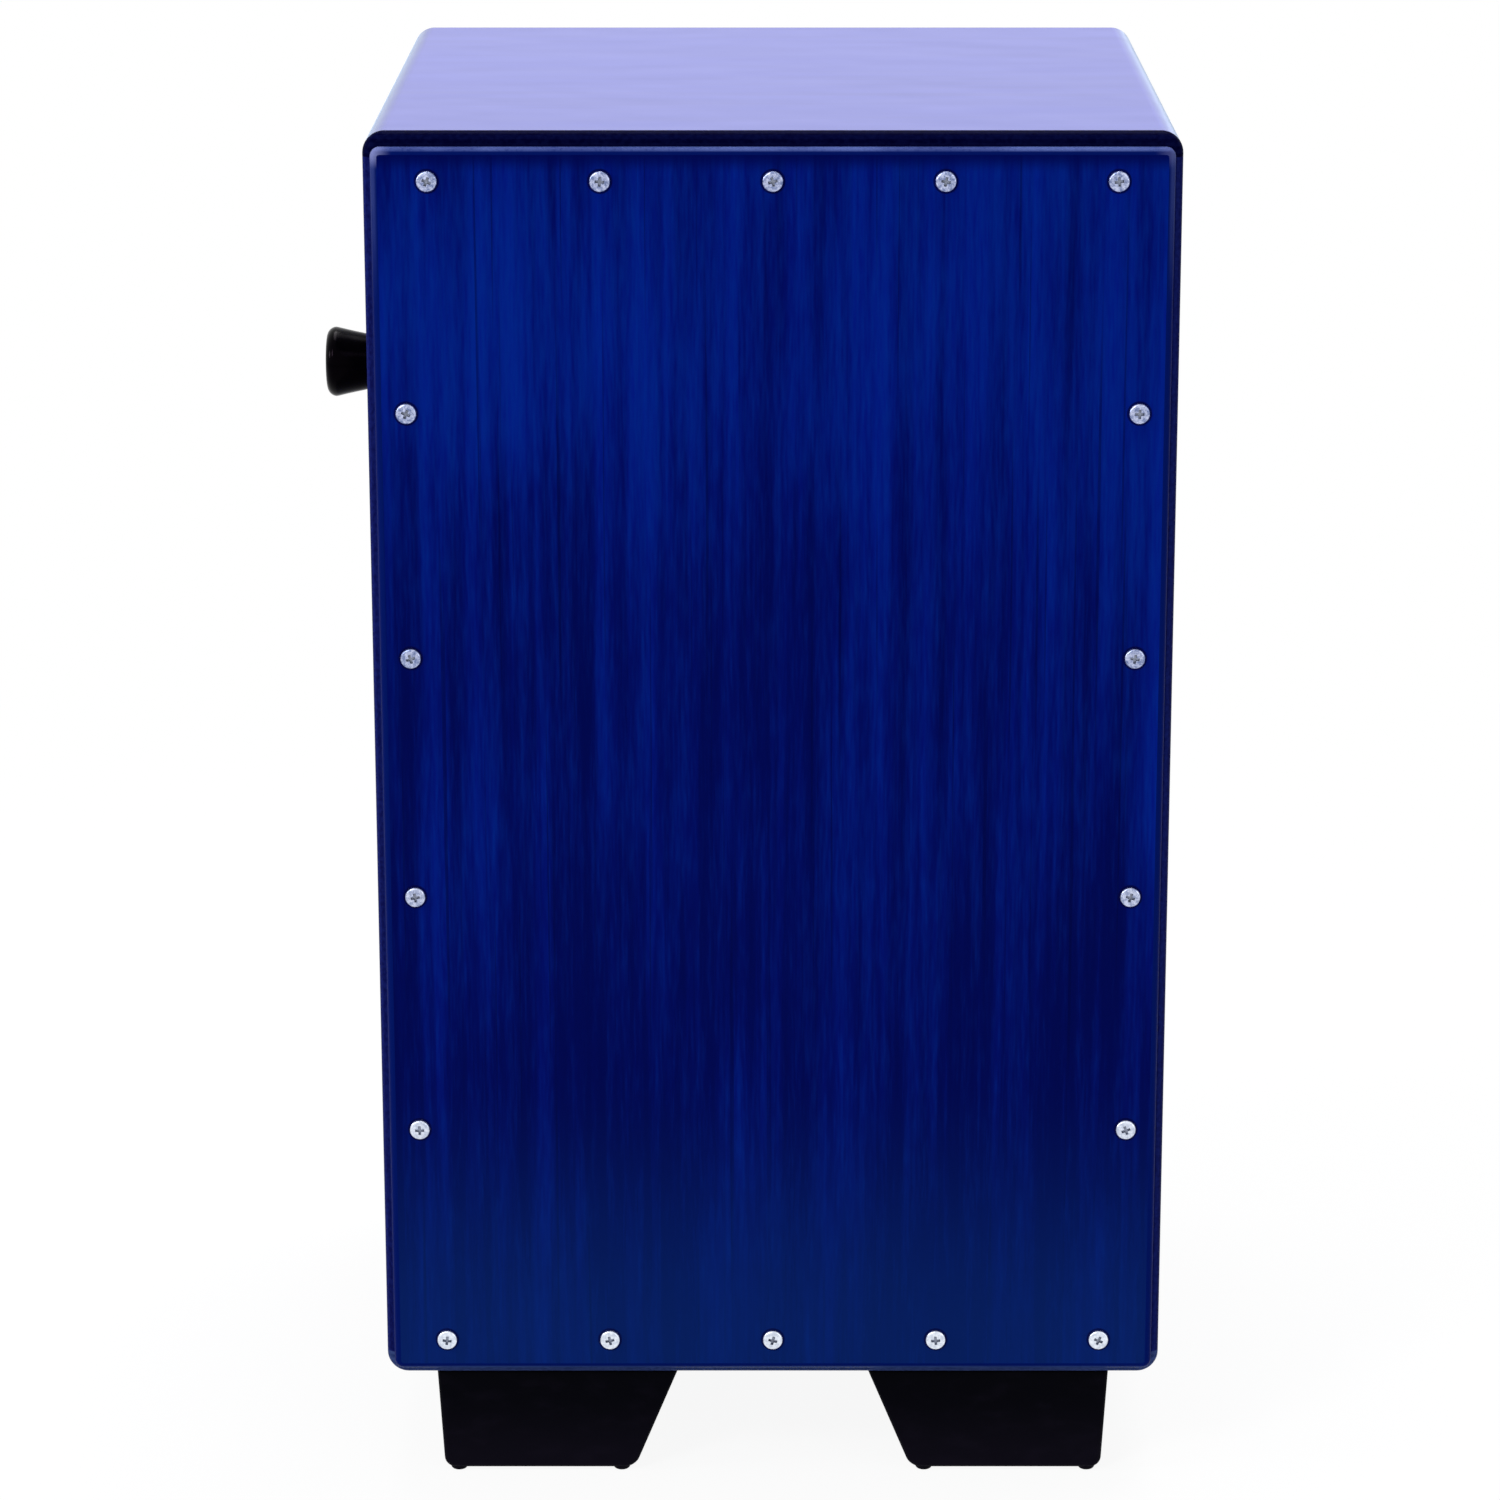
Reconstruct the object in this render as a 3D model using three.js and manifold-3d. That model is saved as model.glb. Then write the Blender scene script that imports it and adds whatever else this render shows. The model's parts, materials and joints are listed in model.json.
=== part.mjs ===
// Snare cajon: a plywood box drum to sit on, with a side knob that lays snare wires on its playing board.
// Millimetres. -Y is the playing side, +X is to the right seen from there, Z is up from the floor.
import * as THREE from 'three';
import { mergeVertices } from 'three/addons/utils/BufferGeometryUtils.js';
import Module from 'manifold-3d';

// Box
const boxWidth = 290;
const boxDepth = 290; // face of the playing board to the back
const boxHeight = 469.2; // underside to seat
const panelWall = 9; // top, bottom and side panels
const backWall = 6;
const cornerRadius = 8; // long edges of the shell, seen from the front
const edgeRound = 4.5; // front and back edges of the shell
const portDiameter = 120;
const portHeightShare = 0.57; // height of the port's centre, as a share of the box's height

// Frame strips inside the front and back edges
const stripWidth = 15;
const stripDepth = 18;

// Playing board
const boardThickness = 3;
const boardSideReveal = 3; // shell edge left bare beside the board
const boardTopReveal = 5.1;
const boardBottomReveal = 3.2;
const boardCornerRadius = 3.5;
const boardEdgeRound = 2.5;

// Playing board screws
const rowScrewCount = 5;
const columnScrewCount = 4;
const rowEndInset = 23; // side of the box to the first and last screw of a row
const columnTopInset = 100.3; // seat to the highest screw of a column
const columnBottomInset = 98.7; // underside of the box to the lowest screw of a column
const topScrewShare = 0.53; // place of each line of screws across its frame strip, from the panel inwards
const bottomScrewShare = 0.42;
const sideScrewShare = 0.35;

// Feet
const footHeight = 41.6; // floor to the underside of the box
const footTopWidth = 91.1;
const footDepth = 70;
const footSideInset = 18.4; // side of the box to the foot's outer edge
const footSetback = 8; // front or back of the box to the foot
const footOuterDraft = 2.4; // how far each side comes in on its way down
const footInnerDraft = 16.6;
const footCornerRadius = 4;
const footEdgeRound = 2;
const footWeb = 8; // rubber left above the heads of the foot screws
const footScrewPitch = 36;
const nubRadius = 3.2; // small pads under the four corners of a foot
const nubSideInset = 2; // side of the sole to a pad
const nubEndInset = 0.8; // front or back of the foot to a pad
const nubHeight = 1.4;
const nubRoot = 2.4; // how far a pad runs up into its foot

// Knob and shaft
const shaftDiameter = 8;
const shaftDrop = 89; // seat to the shaft's axis
const shaftSetback = 39; // face of the playing board to the shaft's axis
const knobReach = 16.6; // side of the box to the knob's tip
const knobNeckDiameter = 20.2;
const knobRimDiameter = 25.2;
const knobRimRound = 3.4; // length of the rounded end, from the rim to the tip
const knobTipDish = 0.8; // the tip is dished by this much
const knobEndWall = 4.8; // plastic left beyond the shaft's end
const bushWall = 2;
const bushFlangeReach = 2.6;
const bushFlangeThickness = 1.2;
const blockSide = 30; // bearing block at the shaft's far end
const blockThickness = 12;
const blockEndWall = 4; // wood left beyond the shaft's end
const grubDiameter = 4;
const grubInset = 5; // knob's inner face to its grub screw
const grubSocketShare = 0.5; // hexagon socket, as a share of the grub screw's diameter
const grubRecess = 0.8; // how far a grub screw lies below the surface it is driven into

// Snare
const barEndGap = 5; // end of the bar to the frame strip beside it
const barDepth = 30;
const barHeight = 22;
const barBack = 8.5; // shaft's axis to the bar's rear face
const snareSetCount = 3;
const snareSetGap = 13.3; // between one end plate and the next
const plateHeight = 16;
const plateThickness = 1.6;
const plateScrewInset = 4; // end of the plate to its screw
const plateScrewRoom = 5.2; // screw to the nearest strand
const strandCount = 8;
const strandDiameter = 2.2;
const strandLength = 112; // below the plate
const snareRestGap = 0.3; // strand to board with the snare on

// Screws
const boardScrew = { head: 7.4, headHeight: 1.6, shank: 3.4, length: 15, crossWidth: 1, crossDepth: 0.8 };
const footScrew = { head: 7.4, headHeight: 1.8, shank: 3.4, length: 15.5, crossWidth: 1, crossDepth: 0.9 };
const plateScrew = { head: 5.6, headHeight: 1.4, shank: 2.8, length: 12, crossWidth: 0.8, crossDepth: 0.7 };
const crossLengthShare = 0.56; // length of the cross recess, as a share of the head
const tipShare = 0.9; // length of a screw's point, as a share of its shank
const screwTurn = 1.13; // radians from one screw's cross to the next

// Clearances
const glueLine = 0.1; // between faces that are glued or clamped together
const holeClearance = 0.3; // all round what sits in a hole
const runningClearance = 0.3; // all round what turns
const driverClearance = 1; // round a screw's head in its recess
const overrun = 5; // how far a cutting tool runs past what it cuts

// Roundness of the faceted surfaces
const arcSteps = 4;
const footArcSteps = 3;
const bluntShare = 0.8; // an end is rounded over by no more than this share of its outline's corner radius
const screwSides = 8;
const nubSides = 10;
const rodSides = 24;
const portSides = 48;
const strandSides = 6;
const socketSides = 6;

// Finishes
function finish(color, roughness, metalness) {
  return new THREE.MeshStandardMaterial({ color, roughness, metalness });
}
const stainedShell = finish(0x07155f, 0.25, 0);
const stainedBoard = finish(0x020f66, 0.25, 0);
const pineStrip = finish(0xd8b98a, 0.75, 0);
const beech = finish(0xc0915c, 0.6, 0);
const blackRubber = finish(0x0e0c12, 0.7, 0);
const blackPlastic = finish(0x050406, 0.3, 0);
const nylon = finish(0xe6e3d8, 0.5, 0);
const zincSteel = finish(0xc8ccd2, 0.3, 1);
const shaftSteel = finish(0xb4b8bd, 0.25, 1);
const snareSteel = finish(0xd0d2d4, 0.3, 1);

// Places in the box's own frame, whose origin is the middle of the underside of the box
const halfWidth = boxWidth / 2;
const innerHalfWidth = halfWidth - panelWall;
const boardFace = -boxDepth / 2;
const boardInner = boardFace + boardThickness;
const shellFront = boardInner + glueLine;
const shellBack = boxDepth / 2;
const innerTop = boxHeight - panelWall;
const shaftY = boardFace + shaftSetback;
const shaftZ = boxHeight - shaftDrop;
const shaftRadius = shaftDiameter / 2;

const wasm = await Module();
wasm.setup();

// A geometry with its shared corners merged and its collapsed triangles left out
function weld(geometry) {
  const bare = geometry.clone();
  bare.deleteAttribute('normal');
  bare.deleteAttribute('uv');
  const merged = mergeVertices(bare);
  const corners = merged.index.array;
  const kept = [];
  for (let i = 0; i < corners.length; i += 3) {
    const [a, b, c] = corners.slice(i, i + 3);
    if (a !== b && b !== c && c !== a) kept.push(a, b, c);
  }
  merged.setIndex(kept);
  return merged;
}

function toSolid(geometry) {
  const welded = weld(geometry);
  const vertProperties = new Float32Array(welded.attributes.position.array);
  const triVerts = new Uint32Array(welded.index.array);
  return new wasm.Manifold(new wasm.Mesh({ numProp: 3, vertProperties, triVerts }));
}

function toGeometry(solid) {
  const mesh = solid.getMesh();
  const geometry = new THREE.BufferGeometry();
  geometry.setAttribute('position', new THREE.BufferAttribute(mesh.vertProperties, 3));
  geometry.setIndex(new THREE.BufferAttribute(mesh.triVerts, 1));
  return geometry;
}

function cut(body, ...tools) {
  return toGeometry(tools.reduce((rest, tool) => rest.subtract(toSolid(tool)), toSolid(body)));
}

function join(body, ...extras) {
  return toGeometry(extras.reduce((sum, extra) => sum.add(toSolid(extra)), toSolid(body)));
}

function keepInside(body, limits) {
  return toGeometry(toSolid(body).intersect(toSolid(limits)));
}

// A box from its lowest to its highest corner
function slab([x0, y0, z0], [x1, y1, z1]) {
  const box = new THREE.BoxGeometry(x1 - x0, y1 - y0, z1 - z0);
  return box.translate((x0 + x1) / 2, (y0 + y1) / 2, (z0 + z1) / 2);
}

// Round shapes are made about +Y and then laid along the axis wanted
const alongX = (geometry) => geometry.rotateZ(-Math.PI / 2);
const alongZ = (geometry) => geometry.rotateX(Math.PI / 2);
const outward = (geometry) => geometry.rotateZ(Math.PI / 2); // +Y to -X, out of the knob's side

function rod(radius, from, to, sides = rodSides) {
  const cylinder = new THREE.CylinderGeometry(radius, radius, to - from, sides);
  return cylinder.translate(0, (from + to) / 2, 0);
}

function lathe(profile, sides) {
  return weld(new THREE.LatheGeometry(profile.map(([r, y]) => new THREE.Vector2(r, y)), sides));
}

// A closed outline through the corners, each rounded by its own radius
function roundedOutline(corners, radii) {
  const shape = new THREE.Shape();
  corners.forEach((corner, i) => {
    const here = new THREE.Vector2(...corner);
    const before = new THREE.Vector2(...corners.at(i - 1)).sub(here).normalize();
    const after = new THREE.Vector2(...corners[(i + 1) % corners.length]).sub(here).normalize();
    const radius = radii[i];
    if (radius === 0) {
      if (i === 0) shape.moveTo(here.x, here.y);
      else shape.lineTo(here.x, here.y);
      return;
    }
    const halfAngle = Math.acos(before.dot(after)) / 2;
    const start = here.clone().addScaledVector(before, radius / Math.tan(halfAngle));
    const end = here.clone().addScaledVector(after, radius / Math.tan(halfAngle));
    const inward = before.clone().add(after).normalize();
    const centre = here.clone().addScaledVector(inward, radius / Math.sin(halfAngle));
    const clockwise = before.cross(after) > 0;
    if (i === 0) shape.moveTo(start.x, start.y);
    else shape.lineTo(start.x, start.y);
    const from = start.sub(centre).angle();
    const to = end.sub(centre).angle();
    shape.absarc(centre.x, centre.y, radius, from, to, clockwise);
  });
  shape.closePath();
  return shape;
}

function rectangle(x0, z0, x1, z1, radius) {
  return roundedOutline([[x0, z0], [x1, z0], [x1, z1], [x0, z1]], [radius, radius, radius, radius]);
}

// An outline drawn in x and z, pushed through the depth from yFront to yBack, both ends rounded over
function pushThrough(outline, yFront, yBack, round, steps = arcSteps) {
  const geometry = new THREE.ExtrudeGeometry(outline, {
    depth: yBack - yFront - 2 * round,
    curveSegments: steps,
    bevelThickness: round,
    bevelSize: round,
    bevelOffset: -round,
    bevelSegments: steps - 1,
  });
  return geometry.rotateX(Math.PI / 2).translate(0, yBack - round, 0);
}

const cajon = new THREE.Group();
const box = new THREE.Group();
const snare = new THREE.Group();
cajon.add(box);
box.add(snare);
snare.position.set(0, shaftY, shaftZ);

function piece(group, name, geometry, material) {
  const mesh = new THREE.Mesh(geometry, material);
  mesh.name = name;
  group.add(mesh);
  return mesh;
}

// A pan-head cross-recess screw along its own Z, with the underside of its head at zero
function screwGeometry({ head, headHeight, shank, length, crossWidth, crossDepth }) {
  const headRadius = head / 2;
  const shankRadius = shank / 2;
  const profile = [
    [0, -length],
    [shankRadius, -length + shank * tipShare],
    [shankRadius, 0],
    [headRadius, 0],
    [headRadius * Math.cos(Math.PI / 4), headHeight * Math.sin(Math.PI / 4)],
    [0, headHeight],
  ];
  const crossReach = head * crossLengthShare / 2;
  const crossFloor = headHeight - crossDepth;
  const crossTop = headHeight + overrun;
  const armX = slab([-crossReach, -crossWidth / 2, crossFloor], [crossReach, crossWidth / 2, crossTop]);
  const armY = slab([-crossWidth / 2, -crossReach, crossFloor], [crossWidth / 2, crossReach, crossTop]);
  return cut(alongZ(lathe(profile, screwSides)), armX, armY);
}

const twoDigits = (n) => String(n).padStart(2, '0');

// Where the playing board's screws go: the top row, the two columns downwards, then the bottom row
function boardScrewPlaces() {
  const topZ = innerTop - stripWidth * topScrewShare;
  const bottomZ = panelWall + stripWidth * bottomScrewShare;
  const columnX = innerHalfWidth - stripWidth * sideScrewShare;
  const rowHalfSpan = halfWidth - rowEndInset;
  const rowStep = 2 * rowHalfSpan / (rowScrewCount - 1);
  const columnStep = (boxHeight - columnTopInset - columnBottomInset) / (columnScrewCount - 1);
  const row = (z) => Array.from({ length: rowScrewCount }, (_, i) => [i * rowStep - rowHalfSpan, z]);
  const highest = boxHeight - columnTopInset;
  const levels = Array.from({ length: columnScrewCount }, (_, i) => highest - i * columnStep);
  const columns = levels.flatMap((z) => [[-columnX, z], [columnX, z]]);
  return [...row(topZ), ...columns, ...row(bottomZ)];
}
const screwPlaces = boardScrewPlaces();

// Holes for the board's screws, through the board and into the strips behind it
const screwHoles = screwPlaces.map(([x, z]) => {
  const depth = boardScrew.length + holeClearance;
  const hole = rod(boardScrew.shank / 2 + holeClearance, -overrun, depth, screwSides);
  return hole.translate(x, boardFace, z);
});

// Shell: five panels, four of them cut from one rounded outer form
function addPanels() {
  const outline = rectangle(-halfWidth, 0, halfWidth, boxHeight, cornerRadius);
  const form = pushThrough(outline, shellFront, shellBack, Math.min(edgeRound, cornerRadius * bluntShare));
  const front = shellFront - overrun;
  const back = shellBack + overrun;
  const out = halfWidth + overrun;
  const top = keepInside(form, slab([-out, front, innerTop], [out, back, boxHeight + overrun]));
  piece(box, 'top_panel', top, stainedShell);
  const bottom = keepInside(form, slab([-out, front, -overrun], [out, back, panelWall]));
  piece(box, 'bottom_panel', cut(bottom, ...footScrewHoles()), stainedShell);

  const sideBottom = panelWall + glueLine;
  const sideTop = innerTop - glueLine;
  const left = keepInside(form, slab([-out, front, sideBottom], [-innerHalfWidth, back, sideTop]));
  const bushHole = alongX(rod(shaftRadius + runningClearance + bushWall + holeClearance, -out, 0));
  piece(box, 'left_side_panel', cut(left, bushHole.translate(0, shaftY, shaftZ)), stainedShell);
  const right = keepInside(form, slab([innerHalfWidth, front, sideBottom], [out, back, sideTop]));
  piece(box, 'right_side_panel', right, stainedShell);

  const backHalf = innerHalfWidth - glueLine;
  const backPlate = slab([-backHalf, shellBack - backWall, sideBottom], [backHalf, shellBack, sideTop]);
  const port = rod(portDiameter / 2, shellBack - backWall - overrun, back, portSides);
  piece(box, 'back_panel', cut(backPlate, port.translate(0, 0, boxHeight * portHeightShare)), stainedShell);
}

// Strips glued inside the front and back edges, with screw holes in the front ones
function addStrips(end, yFront, holes) {
  const yBack = yFront + stripDepth;
  const outerX = innerHalfWidth - glueLine;
  const innerX = outerX - stripWidth;
  const highTop = innerTop - glueLine;
  const lowTop = highTop - stripWidth;
  const lowBottom = panelWall + glueLine;
  const highBottom = lowBottom + stripWidth;
  const strips = {
    top_strip: slab([-outerX, yFront, lowTop], [outerX, yBack, highTop]),
    bottom_strip: slab([-outerX, yFront, lowBottom], [outerX, yBack, highBottom]),
    left_strip: slab([-outerX, yFront, highBottom + glueLine], [-innerX, yBack, lowTop - glueLine]),
    right_strip: slab([innerX, yFront, highBottom + glueLine], [outerX, yBack, lowTop - glueLine]),
  };
  for (const [name, strip] of Object.entries(strips)) {
    piece(box, `${end}_${name}`, cut(strip, ...holes), pineStrip);
  }
}

function addPlayingBoard() {
  const halfBoard = halfWidth - boardSideReveal;
  const boardTop = boxHeight - boardTopReveal;
  const outline = rectangle(-halfBoard, boardBottomReveal, halfBoard, boardTop, boardCornerRadius);
  const round = Math.min(boardEdgeRound, boardThickness, boardCornerRadius * bluntShare);
  const doubled = pushThrough(outline, boardFace, boardInner + boardThickness, round);
  const low = [-halfWidth, boardFace - overrun, -overrun];
  const board = keepInside(doubled, slab(low, [halfWidth, boardInner, boxHeight + overrun]));
  piece(box, 'playing_board', cut(board, ...screwHoles), stainedBoard);

  screwPlaces.forEach(([x, z], i) => {
    const name = `playing_board_screw_${twoDigits(i + 1)}`;
    const screw = piece(box, name, screwGeometry(boardScrew), zincSteel);
    screw.position.set(x, boardFace - glueLine, z);
    screw.rotation.set(Math.PI / 2, 0, 0);
    screw.rotateZ(i * screwTurn);
  });
}

// Feet: each is a block whose sides come in on the way down
const footMiddle = halfWidth - footSideInset - (footTopWidth - footInnerDraft + footOuterDraft) / 2;
const footCentreY = shellBack - footSetback - footDepth / 2;
const footPlaces = [
  ['front_left', -1, -1],
  ['front_right', 1, -1],
  ['rear_left', -1, 1],
  ['rear_right', 1, 1],
];

function footScrewPlaces(side, end) {
  return [-1, 1].map((way) => [side * footMiddle, end * footCentreY + way * footScrewPitch / 2]);
}

function footScrewHoles() {
  const hole = rod(footScrew.shank / 2 + holeClearance, -overrun, panelWall + overrun, screwSides);
  const places = footPlaces.flatMap(([, side, end]) => footScrewPlaces(side, end));
  return places.map(([x, y]) => alongZ(hole.clone()).translate(x, y, 0));
}

function footGeometry(side) {
  const outerX = halfWidth - footSideInset;
  const innerX = outerX - footTopWidth;
  const lowOuterX = outerX - footOuterDraft;
  const lowInnerX = innerX + footInnerDraft;
  const top = -glueLine;
  const low = nubHeight - footHeight;
  const corners = [[innerX, top], [lowInnerX, low], [lowOuterX, low], [outerX, top]];
  const sided = corners.map(([x, z]) => [side * x, z]);
  const outline = roundedOutline(sided, [0, footCornerRadius, footCornerRadius, 0]);
  const round = Math.min(footEdgeRound, footCornerRadius * bluntShare);
  const block = pushThrough(outline, -footDepth / 2, footDepth / 2, round, footArcSteps);

  const nubs = [];
  const nubX = nubSideInset + nubRadius;
  const nubY = footDepth / 2 - nubEndInset - nubRadius;
  for (const x of [lowOuterX - nubX, lowInnerX + nubX]) {
    for (const end of [-1, 1]) {
      const nub = alongZ(rod(nubRadius, footHeight - nubHeight - nubRoot, footHeight, nubSides));
      nubs.push(nub.rotateX(Math.PI).translate(side * x, end * nubY, 0));
    }
  }
  const tools = footScrewPlaces(side, 0).flatMap(([x, y]) => {
    const shankHole = rod(footScrew.shank / 2 + holeClearance, -overrun, footHeight, screwSides);
    const headHole = rod(footScrew.head / 2 + driverClearance, footWeb, footHeight + overrun, screwSides);
    return [shankHole, headHole].map((hole) => alongZ(hole).rotateX(Math.PI).translate(x, y, 0));
  });
  return cut(join(block, ...nubs), ...tools);
}

function addFeet() {
  for (const [corner, side, end] of footPlaces) {
    piece(box, `${corner}_foot`, footGeometry(side), blackRubber).position.set(0, end * footCentreY, 0);
    footScrewPlaces(side, end).forEach(([x, y], i) => {
      const screw = piece(box, `${corner}_foot_screw_${i + 1}`, screwGeometry(footScrew), zincSteel);
      screw.position.set(x, y, -footWeb - glueLine);
      screw.rotation.set(Math.PI, 0, (x + y) * screwTurn);
    });
  }
}

// Shaft bearings, fixed to the side panels
const panelFace = -halfWidth - glueLine;
const knobInner = panelFace - bushFlangeThickness - runningClearance;
const knobTip = -halfWidth - knobReach;
const blockInner = innerHalfWidth - glueLine - blockThickness;
const blockBoreEnd = blockInner + blockThickness - blockEndWall;

function addBearings() {
  const boreRadius = shaftRadius + runningClearance;
  const sleeveRadius = boreRadius + bushWall;
  const flangeRadius = sleeveRadius + bushFlangeReach;
  const flangeEnd = bushFlangeThickness;
  const profile = [
    [boreRadius, -panelWall],
    [sleeveRadius, -panelWall],
    [sleeveRadius, 0],
    [flangeRadius, 0],
    [flangeRadius, flangeEnd],
    [boreRadius, flangeEnd],
    [boreRadius, -panelWall],
  ];
  const bush = piece(box, 'shaft_bush', outward(lathe(profile, rodSides)), nylon);
  bush.position.set(panelFace, shaftY, shaftZ);

  const half = blockSide / 2;
  const block = slab([blockInner, -half, -half], [blockInner + blockThickness, half, half]);
  const bore = alongX(rod(boreRadius, blockInner - overrun, blockBoreEnd));
  piece(box, 'shaft_bearing_block', cut(block, bore), beech).position.set(0, shaftY, shaftZ);
}

// Grub screw along its own Z with its socket at the top, and its point at zero
function grubGeometry(length) {
  const radius = grubDiameter / 2;
  const socket = rod(radius * grubSocketShare, length / 2, length + overrun, socketSides);
  return cut(alongZ(rod(radius, 0, length, screwSides)), alongZ(socket));
}

// The shaft turns with all that it carries
function addKnobAndShaft() {
  const neckRadius = knobNeckDiameter / 2;
  const rimRadius = knobRimDiameter / 2;
  const boreRadius = shaftRadius + holeClearance;
  const length = knobInner - knobTip;
  const boreDepth = length - knobEndWall;
  const rimAt = length - knobRimRound;
  const profile = [
    [0, boreDepth],
    [boreRadius, boreDepth],
    [boreRadius, 0],
    [neckRadius, 0],
    [rimRadius, rimAt],
  ];
  for (let step = 1; step <= arcSteps; step += 1) {
    const angle = step / arcSteps * Math.PI / 2;
    const radius = rimRadius - knobRimRound * (1 - Math.cos(angle));
    profile.push([radius, rimAt + knobRimRound * Math.sin(angle)]);
  }
  profile.push([0, length - knobTipDish]);
  const body = outward(lathe(profile, rodSides + arcSteps)).translate(knobInner, 0, 0);
  const grubX = knobInner - grubInset;
  const slope = (rimRadius - neckRadius) / rimAt;
  const knobRadiusAtGrub = neckRadius + slope * (grubInset - grubDiameter);
  const grubHole = rod(grubDiameter / 2 + holeClearance, 0, rimRadius + overrun, screwSides);
  piece(snare, 'snare_knob', cut(body, grubHole.translate(grubX, 0, 0)), blackPlastic);

  const grubStart = shaftRadius + holeClearance;
  const grubLength = knobRadiusAtGrub - grubRecess - grubStart;
  const grub = piece(snare, 'knob_grub_screw', grubGeometry(grubLength), zincSteel);
  grub.position.set(grubX, grubStart, 0);
  grub.rotation.set(-Math.PI / 2, 0, 0);

  const shaftStart = knobInner - boreDepth + holeClearance;
  const shaftEnd = blockBoreEnd - runningClearance;
  piece(snare, 'snare_shaft', alongX(rod(shaftRadius, shaftStart, shaftEnd)), shaftSteel);
}

const barFront = barBack - barDepth;
const plateFront = barFront - glueLine - plateThickness;
const barHalf = innerHalfWidth - glueLine - stripWidth - barEndGap;
const setPitch = 2 * barHalf / snareSetCount;
const setPlaces = Array.from({ length: snareSetCount }, (_, i) => (i + 0.5) * setPitch - barHalf);
const plateWidth = setPitch - snareSetGap;
const plateScrewX = plateWidth / 2 - plateScrewInset;

// A beech bar on the shaft, with its set screw let in from above between two sets of wires
function addBar() {
  const bar = slab([-barHalf, barFront, -barHeight / 2], [barHalf, barBack, barHeight / 2]);
  const bore = alongX(rod(shaftRadius + holeClearance, -barHalf - overrun, barHalf + overrun));
  const setScrewX = setPlaces[0] + setPitch / 2;
  const setHole = alongZ(rod(grubDiameter / 2 + holeClearance, 0, barHeight, screwSides));
  setHole.translate(setScrewX, 0, 0);
  const pilotRadius = plateScrew.shank / 2 + holeClearance;
  const pilot = rod(pilotRadius, -overrun, plateScrew.length + holeClearance, screwSides);
  const pilotPlaces = setPlaces.flatMap((x) => [x - plateScrewX, x + plateScrewX]);
  const pilots = pilotPlaces.map((x) => pilot.clone().translate(x, plateFront, 0));
  piece(snare, 'snare_bar', cut(bar, bore, setHole, ...pilots), beech);

  const start = shaftRadius + holeClearance;
  const length = barHeight / 2 - grubRecess - start;
  const setScrew = piece(snare, 'bar_set_screw', grubGeometry(length), zincSteel);
  setScrew.position.set(setScrewX, 0, start);
}

// One set of snare wires: strands soldered to an end plate, slanting down to the back of the board
function snareSetGeometry() {
  const halfPlate = plateHeight / 2;
  const plateBack = plateFront + plateThickness;
  const plate = slab([-plateWidth / 2, plateFront, -halfPlate], [plateWidth / 2, plateBack, halfPlate]);
  const tipY = boardInner - shaftY + snareRestGap + strandDiameter / 2;
  const root = new THREE.Vector3(0, plateFront, 0);
  const reach = new THREE.Vector3(0, tipY, -halfPlate - strandLength).sub(root);
  const up = new THREE.Vector3(0, 1, 0);
  const turn = new THREE.Quaternion().setFromUnitVectors(up, reach.clone().normalize());
  const fanHalf = plateScrewX - plateScrewRoom;
  const strands = Array.from({ length: strandCount }, (_, i) => {
    const x = (2 * i / (strandCount - 1) - 1) * fanHalf;
    const strand = rod(strandDiameter / 2, 0, reach.length(), strandSides);
    return strand.applyQuaternion(turn).translate(x, root.y, root.z);
  });
  const hole = rod(plateScrew.shank / 2 + holeClearance, -overrun, overrun, screwSides);
  const holes = [-1, 1].map((way) => hole.clone().translate(way * plateScrewX, plateFront, 0));
  return cut(join(plate, ...strands), ...holes);
}

function addSnareSets() {
  setPlaces.forEach((x, i) => {
    piece(snare, `snare_wires_${i + 1}`, snareSetGeometry(), snareSteel).position.set(x, 0, 0);
    [-1, 1].forEach((way, j) => {
      const name = `snare_plate_screw_${2 * i + j + 1}`;
      const screw = piece(snare, name, screwGeometry(plateScrew), zincSteel);
      screw.position.set(x + way * plateScrewX, plateFront - glueLine, 0);
      screw.rotation.set(Math.PI / 2, 0, 0);
      screw.rotateZ((2 * i + j) * screwTurn);
    });
  });
}

addPanels();
addStrips('front', shellFront, screwHoles);
addStrips('back', shellBack - backWall - glueLine - stripDepth, []);
addPlayingBoard();
addFeet();
addBearings();
addKnobAndShaft();
addBar();
addSnareSets();

// The origin is on the floor, midway between the knob's tip and the other side, and screw heads and back
box.position.set(knobReach / 2, (boardScrew.headHeight + glueLine) / 2, footHeight);

export default cajon;
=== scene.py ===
import json
import math

import bmesh
import bpy
from mathutils import Matrix, Vector


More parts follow.
